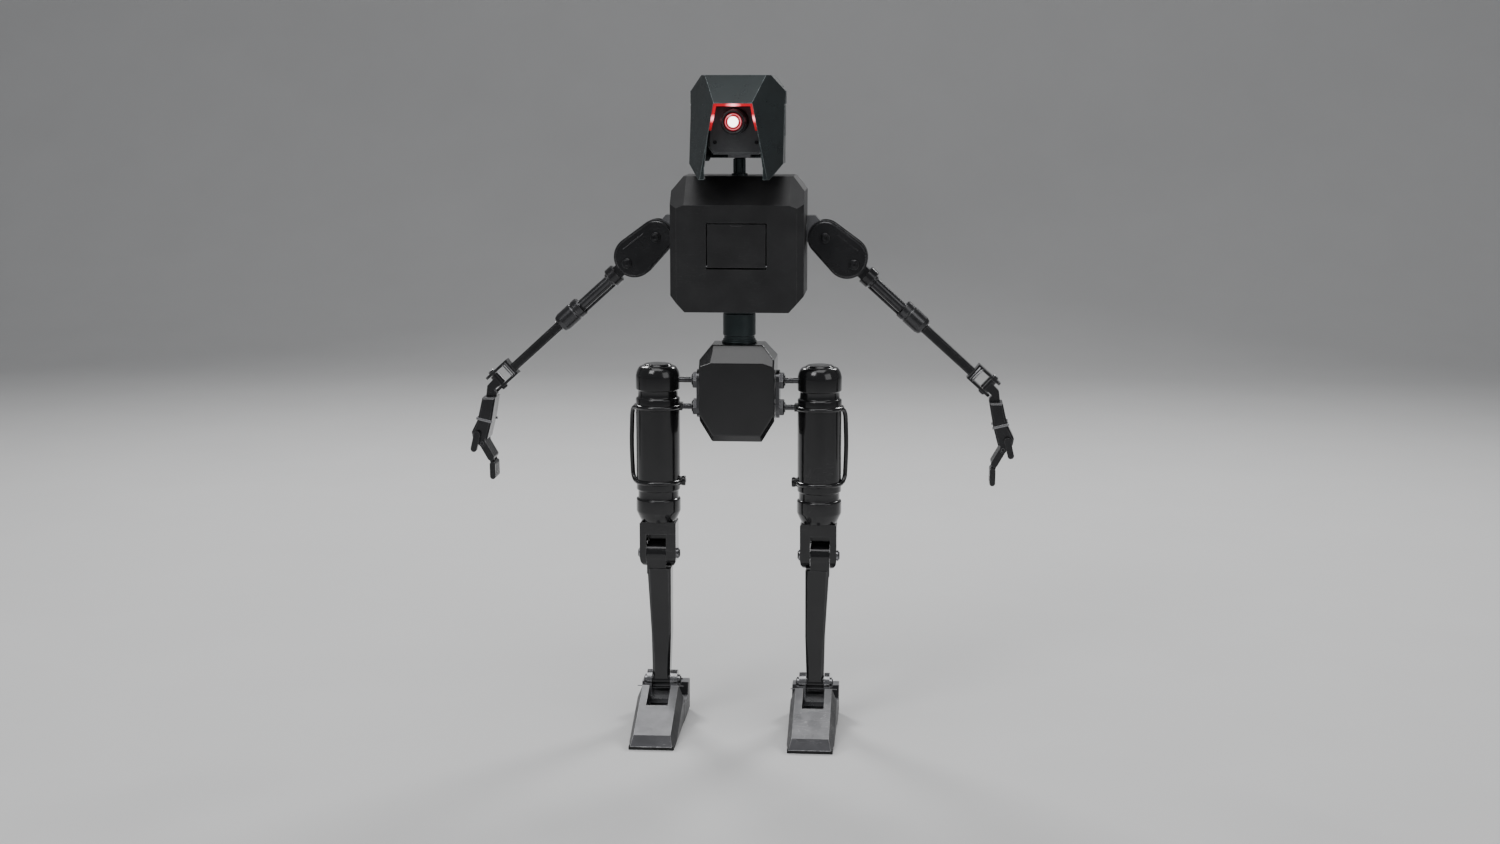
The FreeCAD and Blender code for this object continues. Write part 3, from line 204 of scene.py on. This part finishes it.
def red_reflection_glow_material():
    """red glow painted on the strip, standing in for the eye light reflected on the opening's bevelled edges, with
    painted highlights brightest at the middle of each run
    """
    m, nt, bs = new_mat("light_red")
    tc = nt.nodes.new("ShaderNodeTexCoord")
    sp = nt.nodes.new("ShaderNodeSeparateXYZ")
    nt.links.new(tc.outputs["Object"], sp.inputs[0])
    # painted highlight hot spots at the top centre and at mid height of each side run
    ax = math_n(nt, "ABSOLUTE", sp.outputs[0])
    top = ramp(nt, math_n(nt, "MULTIPLY", ax, 60.0), [(0.06, 1.0), (0.46, 0.0)]).outputs[0]
    zz = math_n(nt, "ABSOLUTE", math_n(nt, "SUBTRACT", sp.outputs[2], 0.5625))
    side = ramp(nt, math_n(nt, "MULTIPLY", zz, 90.0), [(0.05, 1.0), (0.36, 0.0)]).outputs[0]
    away = ramp(nt, math_n(nt, "MULTIPLY", ax, 60.0), [(0.85, 0.0), (1.0, 1.0)]).outputs[0]
    painted_hot_spots = math_n(nt, "MAXIMUM", top, math_n(nt, "MULTIPLY", side, away), True)
    painted_hot_spots = math_n(nt, "MULTIPLY", painted_hot_spots, ramp(nt, noise(nt, tc.outputs["Object"], 400.0, 2.0), [(0.2, 0.75), (0.8, 1.0)]).outputs[0])
    col = mix_rgb(nt, painted_hot_spots, (0.75, 0.002, 0.022), (1.0, 0.34, 0.40))
    nt.links.new(col, bs.inputs["Emission Color"])
    bs.inputs["Base Color"].default_value = (0.5, 0.01, 0.01, 1)
    # the painted glow fades towards the bottom of the opening
    painted_glow_fade = ramp(nt, math_n(nt, "MULTIPLY", math_n(nt, "SUBTRACT", sp.outputs[2], 0.552), 100.0), [(0.05, 0.12), (0.75, 1.0)]).outputs[0]
    painted_glow = math_n(nt, "ADD", math_n(nt, "MULTIPLY", painted_hot_spots, 3.2), 0.75)
    nt.links.new(math_n(nt, "MULTIPLY", painted_glow, painted_glow_fade), bs.inputs["Emission Strength"])
    bs.inputs["Roughness"].default_value = 0.25
    return m


def foot_material():
    """brushed bare metal on the sloping top, dark paint on the flanks"""
    m = surface("foot_two_tone", (0.23, 0.23, 0.24), (0.36, 0.36, 0.37), (0.7, 0.7, 0.71), 0.9, 0.34, 0.5, edge=0.0008, wear_and_glint_amount=0.7, grain=(3.0, 0.12, 0.12), grain_scale=1500.0, bump=0.25, scratch=0.6)
    nt = m.node_tree
    bs = [n for n in nt.nodes if n.type == "BSDF_PRINCIPLED"][0]
    tc = [n for n in nt.nodes if n.type == "TEX_COORD"][0]
    sp = nt.nodes.new("ShaderNodeSeparateXYZ")
    nt.links.new(tc.outputs["Normal"], sp.inputs[0])
    up = ramp(nt, sp.outputs[2], [(0.86, 0.0), (0.91, 1.0)]).outputs[0]
    src = bs.inputs["Base Color"].links[0].from_socket
    flank = mix_rgb(nt, noise(nt, tc.outputs["Object"], 40.0, 5.0), (0.035, 0.035, 0.038), (0.06, 0.06, 0.064))
    wear_and_glint_mask = [n for n in nt.nodes if n.type == "MATH" and n.operation == "MAXIMUM"][0].outputs[0]
    flank = mix_rgb(nt, wear_and_glint_mask, flank, (0.45, 0.45, 0.46))
    nt.links.new(mix_rgb(nt, up, flank, src), bs.inputs["Base Color"])
    return m


MATS["foot_grey"] = foot_material()
MATS["lens_glass"] = lens_material()
MATS["light_red"] = red_reflection_glow_material()

SLOT = {s["node"]: s["material_slot"] for s in frame["record"]["subparts"]}
SOFT = {"pelvis_shell_front": 0.0004, "pelvis_shell_rear": 0.0006, "torso_front_shell": 0.0005, "torso_rear_shell": 0.0005, "head_hood": 0.0007}


def dress(node, mat, width=None):
    o = bpy.data.objects[node]
    o.data.materials.clear()
    o.data.materials.append(MATS[mat])
    for p in o.data.polygons:
        p.use_smooth = True
    if width is None:
        width = SOFT.get(node, 0.0005)
    if width:
        b = o.modifiers.new("edge_round", "BEVEL")
        b.width = width
        b.segments = 3
        b.limit_method = "ANGLE"
        b.angle_limit = math.radians(28)
        b.harden_normals = False
        b.use_clamp_overlap = True
    w = o.modifiers.new("face_normals", "WEIGHTED_NORMAL")
    w.keep_sharp = True
    w.weight = 80
    return o


for node, sl in SLOT.items():
    mat = "pelvis_black" if node.startswith("pelvis_shell") else sl
    if node.endswith(("shoulder_pin", "elbow_pin")):
        mat = "screw_dark"
    if node.endswith("forearm_tube"):
        mat = "tube_steel"
    if node.endswith("hip_bracket"):
        mat = "stud_steel"
    dress(node, mat, 0.0 if sl in ("lens_glass",) else None)

# ------------------------------------------------------------------ mesh helpers
MM = 0.001


def add_piece(name, bm, mat, body, bevel=0.0, smooth=True):
    bmesh.ops.remove_doubles(bm, verts=bm.verts, dist=1e-7)
    bmesh.ops.recalc_face_normals(bm, faces=bm.faces)
    me = bpy.data.meshes.new(name)
    bm.to_mesh(me)
    bm.free()
    for p in me.polygons:
        p.use_smooth = smooth
    o = bpy.data.objects.new(name, me)
    bpy.context.collection.objects.link(o)
    me.materials.append(MATS[mat])
    if bevel:
        b = o.modifiers.new("edge_round", "BEVEL")
        b.width = bevel
        b.segments = 2
        b.limit_method = "ANGLE"
        b.angle_limit = math.radians(30)
    wn = o.modifiers.new("face_normals", "WEIGHTED_NORMAL")
    wn.keep_sharp = True
    wn.weight = 80
    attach(o, body)
    return o


def basis(axis):
    z = Vector(axis).normalized()
    x = Vector((0, 1, 0)).cross(z) if abs(z.y) < 0.9 else Vector((1, 0, 0)).cross(z)
    x.normalize()
    y = z.cross(x)
    return x, y, z


def lathe(bm, profile, at, axis, seg=72, sides=None, close=True):
    """profile of (radius, height) in mm turned about an axis through at"""
    profile = list(profile)
    if close and profile[0][0] > 1e-6 and profile[-1][0] > 1e-6 and profile[0] != profile[-1]:
        profile.append(profile[0])
    x, y, z = basis(axis)
    at = Vector(at)
    n = sides or seg
    rings = []
    for r, h in profile:
        if r < 1e-6:
            rings.append([bm.verts.new((at + z * h) * MM)])
        else:
            rings.append([bm.verts.new((at + z * h + (x * math.cos(2 * math.pi * i / n) + y * math.sin(2 * math.pi * i / n)) * r) * MM) for i in range(n)])
    for a, b in zip(rings, rings[1:]):
        for i in range(n):
            j = (i + 1) % n
            if len(a) == 1 and len(b) == 1:
                continue
            if len(a) == 1:
                bm.faces.new((a[0], b[i], b[j]))
            elif len(b) == 1:
                bm.faces.new((a[i], a[j], b[0]))
            else:
                bm.faces.new((a[i], a[j], b[j], b[i]))
    return bm


def torus(bm, R, r, at, axis, seg=72, ring=14):
    prof = [(R + r * math.cos(2 * math.pi * k / ring), r * math.sin(2 * math.pi * k / ring)) for k in range(ring)]
    prof.append(prof[0])
    return lathe(bm, prof, at, axis, seg)


def slab(bm, lo, hi, taper=0.0):
    """block with its corners cut, in mm"""
    x0, y0, z0 = lo
    x1, y1, z1 = hi
    v = [bm.verts.new(Vector(p) * MM) for p in ((x0, y0, z0), (x1, y0, z0), (x1, y1, z0), (x0, y1, z0), (x0 + taper, y0 + taper, z1), (x1 - taper, y0 + taper, z1), (x1 - taper, y1 - taper, z1), (x0 + taper, y1 - taper, z1))]
    for f in ((3, 2, 1, 0), (4, 5, 6, 7), (0, 1, 5, 4), (1, 2, 6, 5), (2, 3, 7, 6), (3, 0, 4, 7)):
        bm.faces.new([v[i] for i in f])
    return bm


def tube(bm, pts, r, seg=14):
    """round rod along points, mm"""
    P = [Vector(p) for p in pts]
    prev = None
    last = None
    for i, p in enumerate(P):
        t = (P[min(i + 1, len(P) - 1)] - P[max(i - 1, 0)]).normalized()
        if prev is None:
            u = t.orthogonal().normalized()
        else:
            u = (prev - t * prev.dot(t)).normalized()
        prev = u
        w = t.cross(u)
        ring = [bm.verts.new((p + (u * math.cos(2 * math.pi * k / seg) + w * math.sin(2 * math.pi * k / seg)) * r) * MM) for k in range(seg)]
        if last:
            for k in range(seg):
                bm.faces.new((last[k], last[(k + 1) % seg], ring[(k + 1) % seg], ring[k]))
        else:
            bm.faces.new(list(reversed(ring)))
        last = ring
    bm.faces.new(last)
    return bm


def smooth_path(pts, n=10):
    """Catmull-Rom through points"""
    P = [Vector(pts[0])] + [Vector(p) for p in pts] + [Vector(pts[-1])]
    out = []
    for i in range(1, len(P) - 2):
        for k in range(n):
            t = k / n
            a, b, c, e = P[i - 1], P[i], P[i + 1], P[i + 2]
            out.append(0.5 * ((2 * b) + (c - a) * t + (2 * a - 5 * b + 4 * c - e) * t * t + (3 * b - a - 3 * c + e) * t ** 3))
    out.append(P[-2])
    return out


def socket_head(bm, at, axis, r, hgt, hexr, depth):
    """screw head with a real hexagon socket"""
    x, y, z = basis(axis)
    at = Vector(at)
    lathe(bm, [(0, 0.0), (r, 0.0), (r, hgt - 0.25), (r - 0.25, hgt), (hexr * 1.22, hgt)], at, axis, 48, None, False)
    n = 48
    top = []
    for i in range(n):
        a = 2 * math.pi * i / n
        top.append((at + z * hgt + (x * math.cos(a) + y * math.sin(a)) * hexr * 1.22) * MM)
    rim = []
    floor_ = []
    for i in range(n):
        a = 2 * math.pi * i / n
        k = (a + math.pi / 6) % (math.pi / 3) - math.pi / 6
        rr = hexr * math.cos(math.pi / 6) / math.cos(k)
        rim.append(bm.verts.new((at + z * hgt + (x * math.cos(a) + y * math.sin(a)) * rr) * MM))
        floor_.append(bm.verts.new((at + z * (hgt - depth) + (x * math.cos(a) + y * math.sin(a)) * rr) * MM))
    outer = [bm.verts.new(p) for p in top]
    for i in range(n):
        j = (i + 1) % n
        bm.faces.new((outer[i], outer[j], rim[j], rim[i]))
        bm.faces.new((rim[i], rim[j], floor_[j], floor_[i]))
    bm.faces.new(floor_)
    return bm


ANG = math.radians(42.2)
CA, SA = math.cos(ANG), math.sin(ANG)


def arm_pt(s, u, y, v=0.0):
    return (s * (78 + u * CA + v * SA), 50 + y, 453 - u * SA + v * CA)


for s, side in ((1, "left"), (-1, "right")):
    thigh, foot, shank = side + "_thigh", side + "_foot", side + "_shank"
    upper, fore, hand = side + "_upper_arm", side + "_forearm", side + "_hand"
    cx, ly = s * 74.7, 20.0
    # thigh actuator with rounded caps
    bm = bmesh.new()
    prof = [(0, 191.4), (15.4, 191.4), (16.4, 191.9), (18.4, 196.0), (20.2, 200.0), (20.6, 201.6), (20.6, 211.6), (20.2, 212.6), (19.2, 213.3), (18.8, 213.6), (18.8, 219.9), (19.3, 220.7), (20.1, 221.2), (20.3, 222.2), (20.3, 301.0), (20.3, 305.8), (20.0, 306.8), (19.0, 307.4), (18.4, 308.2), (18.4, 313.6), (18.9, 314.5), (20.0, 314.8), (20.3, 315.6), (20.3, 326.0), (20.1, 328.4), (19.3, 331.4), (18.1, 333.9), (16.8, 335.7), (15.2, 336.4), (13.6, 336.5), (12.9, 336.9), (12.4, 337.9), (11.6, 338.35), (0, 338.4)]
    lathe(bm, prof, (cx, ly, 0), (0, 0, 1), 96)
    o = add_piece(side + "_thigh_shell", bm, "can_black", thigh, 0.0)
    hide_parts(side + "_thigh_can")
    # cage: two round clamp wires, bent bail and lugs
    bm = bmesh.new()
    for z in (299.0, 229.0):
        torus(bm, 20.6, 2.1, (cx, ly, z), (0, 0, 1), 80, 16)
    xb = 98.3
    path = [(s * 88, ly - 14.5, 299.0), (s * 93.4, ly - 9.0, 299.0), (s * 96.6, ly - 4.2, 297.6), (s * 98.2, ly - 1.2, 293.4), (s * 98.7, ly, 287.0), (s * 99.3, ly, 264.0), (s * 98.6, ly, 240.0), (s * 97.9, ly - 1.0, 234.2), (s * 96.0, ly - 4.0, 230.4), (s * 92.8, ly - 9.0, 229.0), (s * 88, ly - 14.5, 229.0)]
    tube(bm, smooth_path(path, 8), 2.1)
    slab(bm, (min(s * 51.6, s * 55.6), ly - 5, 295.6), (max(s * 51.6, s * 55.6), ly + 5, 302.4))
    slab(bm, (min(s * 52.4, s * 55.6), ly - 4.4, 225.6), (max(s * 52.4, s * 55.6), ly + 4.4, 232.4))
    lathe(bm, [(0, 0), (4.3, 0), (4.6, 0.5), (4.6, 2.8), (4.0, 3.4), (2.2, 3.5), (2.0, 3.0), (0, 3.0)], (s * 52.6, ly, 229.0), (-s, 0, 0), 40)
    o = add_piece(side + "_thigh_wires", bm, "can_black", thigh, 0.0004)
    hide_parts(side + "_thigh_cage")
    # nuts and threads on the hip studs
    bm = bmesh.new()
    for z in (323.6, 298.9):
        torus(bm, 2.7, 0.35, (s * 43.0, ly, z), (1, 0, 0), 24, 8)
        for k in range(6):
            torus(bm, 2.5, 0.28, (s * (44.3 + k * 1.15), ly, z), (1, 0, 0), 24, 8)
        lathe(bm, [(2.4, 0), (4.6, 0), (4.8, 0.2), (4.8, 0.9), (4.6, 1.1), (2.4, 1.1)], (s * 42.1, ly, z), (s, 0, 0), 36)
    add_piece(side + "_hip_threads", bm, "stud_steel", thigh)
    # lip that closes the back of the knee slot just above the shank
    bm = bmesh.new()
    slab(bm, (min(s * 66.9, s * 85.2), 30.2, 168.8), (max(s * 66.9, s * 85.2), 31.8, 172.6))
    add_piece(side + "_knee_lip", bm, SLOT[side + "_knee_fork"], thigh)
    # socket screws on knee, ankle, shoulder and elbow pins
    for nm, at, ax, r, body in (
        ("knee_screw_out", (s * 93.05, 20, 160), (s, 0, 0), 3.6, thigh), ("knee_screw_in", (s * 55.85, 20, 160), (-s, 0, 0), 3.6, thigh),
        ("ankle_screw_out", (s * 87.8, 16, 39), (s, 0, 0), 3.6, foot), ("ankle_screw_in", (s * 55.0, 16, 39), (-s, 0, 0), 3.6, foot),
        ("shoulder_screw", arm_pt(s, 0, -14.6), (0, -1, 0), 3.4, upper), ("shoulder_screw_rear", arm_pt(s, 0, 14.6), (0, 1, 0), 3.4, upper),
        ("elbow_screw", arm_pt(s, 36.1, -14.6), (0, -1, 0), 3.4, upper), ("elbow_screw_rear", arm_pt(s, 36.1, 14.6), (0, 1, 0), 3.4, upper)):
        bm = bmesh.new()
        socket_head(bm, at, ax, r, 0.9, 1.7, 0.8)
        add_piece(side + "_" + nm, bm, "screw_dark", body)
    # raised rib and bright edge on the upper arm plates
    for tag, y0, y1 in (("front", -13.1, -12.3), ("rear", 12.3, 13.1)):
        bm = bmesh.new()
        a = [arm_pt(s, u, y, v) for u, v, y in ((6.0, 10.6, y0), (30.0, 12.6, y0), (30.0, 11.5, y0), (6.0, 9.5, y0), (6.0, 10.6, y1), (30.0, 12.6, y1), (30.0, 11.5, y1), (6.0, 9.5, y1))]
        vv = [bm.verts.new(Vector(p) * MM) for p in a]
        for f in ((0, 1, 2, 3), (7, 6, 5, 4), (0, 4, 5, 1), (1, 5, 6, 2), (2, 6, 7, 3), (3, 7, 4, 0)):
            bm.faces.new([vv[i] for i in f])
        add_piece(side + "_arm_rib_" + tag, bm, "arm_black", upper, 0.00025)
    # bright ferrules at both ends of the sleeve and on the collar
    bm = bmesh.new()
    dirv = (s * CA, 0, -SA)
    for u, r in ((58.9, 6.2), (96.3, 5.7), (124.6, 4.9)):
        lathe(bm, [(3.0, 0), (r, 0), (r + 0.35, 0.3), (r + 0.35, 0.9), (r, 1.2), (3.0, 1.2)], arm_pt(s, u, 0), dirv, 40)
    add_piece(side + "_arm_ferrules", bm, "bright_steel", fore)
    # sliding rail under the tube
    bm = bmesh.new()
    tube(bm, [arm_pt(s, 60.0, 0, -6.6), arm_pt(s, 78.0, 0, -6.6), arm_pt(s, 96.6, 0, -6.6)], 1.3, 12)
    add_piece(side + "_arm_rail", bm, "arm_black", fore)
    # wrist details
    bm = bmesh.new()
    vd = Vector((s * SA, 0, CA))
    for sg in (-1, 1):
        at = Vector(arm_pt(s, 203, 0, 1.6)) + vd * (10.2 * sg)
        socket_head(bm, at, vd * sg, 2.7, 0.6, 1.2, 0.5)
    for u in (186.2, 189.2):
        tube(bm, [arm_pt(s, u, -6.9, -5.6), arm_pt(s, u, -6.9, 8.8)], 0.7, 10)
    add_piece(side + "_wrist_screws", bm, "bright_steel", fore)
    # bright band across the palm
    bm = bmesh.new()
    x0, x1 = 233.4, 248.6
    for ya, yb in ((36.2, 37.2), (62.8, 63.8)):
        vv = [bm.verts.new(Vector((s * x, y, z)) * MM) for x, z in ((x0, 277.6), (x1, 281.2), (x1, 283.6), (x0, 280.0)) for y in (ya, yb)]
        q = [vv[0], vv[2], vv[4], vv[6]]
        p = [vv[1], vv[3], vv[5], vv[7]]
        bm.faces.new(q)
        bm.faces.new(list(reversed(p)))
        for i in range(4):
            j = (i + 1) % 4
            bm.faces.new((q[i], q[j], p[j], p[i]))
    vv = [bm.verts.new(Vector((s * x, y, z)) * MM) for x, z in ((247.3, 281.0), (248.7, 281.3), (248.0, 283.8), (246.4, 283.3)) for y in (36.4, 63.6)]
    q = [vv[0], vv[2], vv[4], vv[6]]
    p = [vv[1], vv[3], vv[5], vv[7]]
    bm.faces.new(q)
    bm.faces.new(list(reversed(p)))
    for i in range(4):
        j = (i + 1) % 4
        bm.faces.new((q[i], q[j], p[j], p[i]))
    add_piece(side + "_palm_band", bm, "bright_steel", hand, 0.0003)
    # heel bolts
    bm = bmesh.new()
    for k in range(3):
        socket_head(bm, (s * (71.5 + (k - 1) * 13), 46.0, 31.0), (0, 0, 1), 2.6, 1.0, 1.3, 0.7)
    add_piece(side + "_heel_screws", bm, "screw_dark", foot)

# hood: lower bracket ends, side plates, rear vents
for s, side in ((1, "left"), (-1, "right")):
    bm = bmesh.new()
    vv = [bm.verts.new(Vector((s * x, y, z)) * MM) for x, z in ((25.6, 509.3), (28.6, 509.3), (31.0, 513.4), (29.6, 515.4), (26.8, 512.6)) for y in (-32.4, -24.0)]
    q, p = vv[0::2], vv[1::2]
    bm.faces.new(q)
    bm.faces.new(list(reversed(p)))
    for i in range(5):
        j = (i + 1) % 5
        bm.faces.new((q[i], q[j], p[j], p[i]))
    add_piece(side + "_hood_bracket", bm, "bright_steel", "head", 0.0004)
    bm = bmesh.new()
    for z0, z1, x1, y0, y1 in ((574.5, 586.6, 43.0, 17.0, 31.6), (546.0, 573.6, 42.5, 13.0, 31.6)):
        xa, xb = sorted((s * 41.6, s * x1))
        slab(bm, (xa, y0, z0), (xb, y1, z1))
    add_piece(side + "_hood_plate", bm, "hood_teal", "head", 0.0006)
bm = bmesh.new()
for k in range(6):
    slab(bm, (-16, 66.6, 541 + k * 6.0), (16, 68.7, 543.4 + k * 6.0))
add_piece("hood_rear_ribs", bm, "hood_teal", "head", 0.0005)
# lens rings
bm = bmesh.new()
torus(bm, 9.6, 0.7, (0, -38.0, 559.6), (0, 1, 0), 64, 12)
torus(bm, 11.0, 0.5, (0, -28.0, 559.6), (0, 1, 0), 64, 10)
torus(bm, 11.2, 0.7, (0, -10.0, 559.6), (0, 1, 0), 64, 10)
add_piece("lens_rings", bm, "barrel_grey", "head")
bm = bmesh.new()
for sx in (-1, 1):
    for z in (541.0, 574.0):
        socket_head(bm, (sx * 18.5, -8.0, z), (0, -1, 0), 1.7, 0.7, 0.8, 0.5)
add_piece("camera_screws", bm, "screw_dark", "head")
# neck side strips
bm = bmesh.new()
for s in (-1, 1):
    slab(bm, (s * 4.4 - 1.1, 30.2, 512.6), (s * 4.4 + 1.1, 33.4, 525.2))
add_piece("neck_strips", bm, "column_teal", "torso", 0.0003)
# waist beads
bm = bmesh.new()
torus(bm, 15.0, 0.5, (0, 30, 385.5), (0, 0, 1), 72, 10)
torus(bm, 15.2, 0.9, (0, 30, 358.8), (0, 0, 1), 72, 12)
add_piece("waist_beads", bm, "column_teal", "pelvis")
# chips on the board
bm = bmesh.new()
for x, z, wx, wz in ((-20, 452, 6, 6), (-20, 440, 5, 8), (10, 430, 4, 4), (18, 430, 4, 4), (-2, 458, 12, 3), (22, 462, 5, 3)):
    slab(bm, (x - wx / 2, 43.0, z - wz / 2), (x + wx / 2, 44.3, z + wz / 2))
add_piece("board_chips", bm, "battery_case", "torso", 0.0003)
bm = bmesh.new()
for k in range(7):
    slab(bm, (-24 + k * 8 - 1.6, 50.2, 411), (-24 + k * 8 + 1.6, 51.3, 412.6 + 56))
add_piece("battery_ribs", bm, "battery_case", "torso", 0.0004)

# ------------------------------------------------------------------ stage
bm = bmesh.new()
sweep = [(-5.0, 0.0), (2.4, 0.0)] + [(2.4 + 1.4 * math.sin(t * math.pi / 24), 1.4 - 1.4 * math.cos(t * math.pi / 24)) for t in range(1, 13)] + [(3.8, 5.0)]
rows = [[bm.verts.new((x, y, z)) for x in (-7.0, 7.0)] for y, z in sweep]
for ra, rb_ in zip(rows, rows[1:]):
    bm.faces.new((ra[0], ra[1], rb_[1], rb_[0]))
me = bpy.data.meshes.new("floor")
bm.to_mesh(me)
bm.free()
for p in me.polygons:
    p.use_smooth = True
floor = bpy.data.objects.new("floor", me)
bpy.context.collection.objects.link(floor)
fm, fnt, fbs = new_mat("floor_pale")
ftc = fnt.nodes.new("ShaderNodeTexCoord")
fn = noise(fnt, ftc.outputs["Object"], 6.0, 3.0)
fnt.links.new(mix_rgb(fnt, fn, (0.60, 0.60, 0.60), (0.64, 0.64, 0.64)), fbs.inputs["Base Color"])
fbs.inputs["Roughness"].default_value = 0.85
floor.data.materials.append(fm)


def area(name, loc, target, size, power, size_y=None):
    d = bpy.data.lights.new(name, "AREA")
    d.energy = power
    d.size = size
    if size_y:
        d.shape = "RECTANGLE"
        d.size_y = size_y
    o = bpy.data.objects.new(name, d)
    o.location = loc
    o.rotation_euler = (Vector(target) - Vector(loc)).to_track_quat("-Z", "Y").to_euler()
    bpy.context.collection.objects.link(o)
    return o


area("key_light", (-1.1, -1.5, 1.9), (0, 0, 0.35), 0.9, 17)
area("fill_light", (1.6, -1.3, 1.1), (0, 0, 0.35), 1.2, 8)
area("rim_left", (-0.9, 1.5, 1.6), (0, 0, 0.35), 0.5, 20)
area("rim_right", (0.9, 1.5, 1.6), (0, 0, 0.35), 0.5, 20)
area("top_light", (0, -0.45, 2.1), (0, 0, 0.3), 1.5, 18)
w = bpy.data.worlds.new("soft_world")
w.use_nodes = True
w.node_tree.nodes["Background"].inputs[0].default_value = (0.62, 0.63, 0.65, 1)
w.node_tree.nodes["Background"].inputs[1].default_value = 0.36
bpy.context.scene.world = w

cd = bpy.data.cameras.new("camera")
cd.lens = 50
cd.sensor_width = 36
cam = bpy.data.objects.new("camera", cd)
cam.location = (0.1537, -1.8702, 0.5918)
cam.rotation_euler = (Vector((0.01207, 0, 0.288)) - Vector(cam.location)).to_track_quat("-Z", "Y").to_euler()
bpy.context.collection.objects.link(cam)
bpy.context.scene.camera = cam
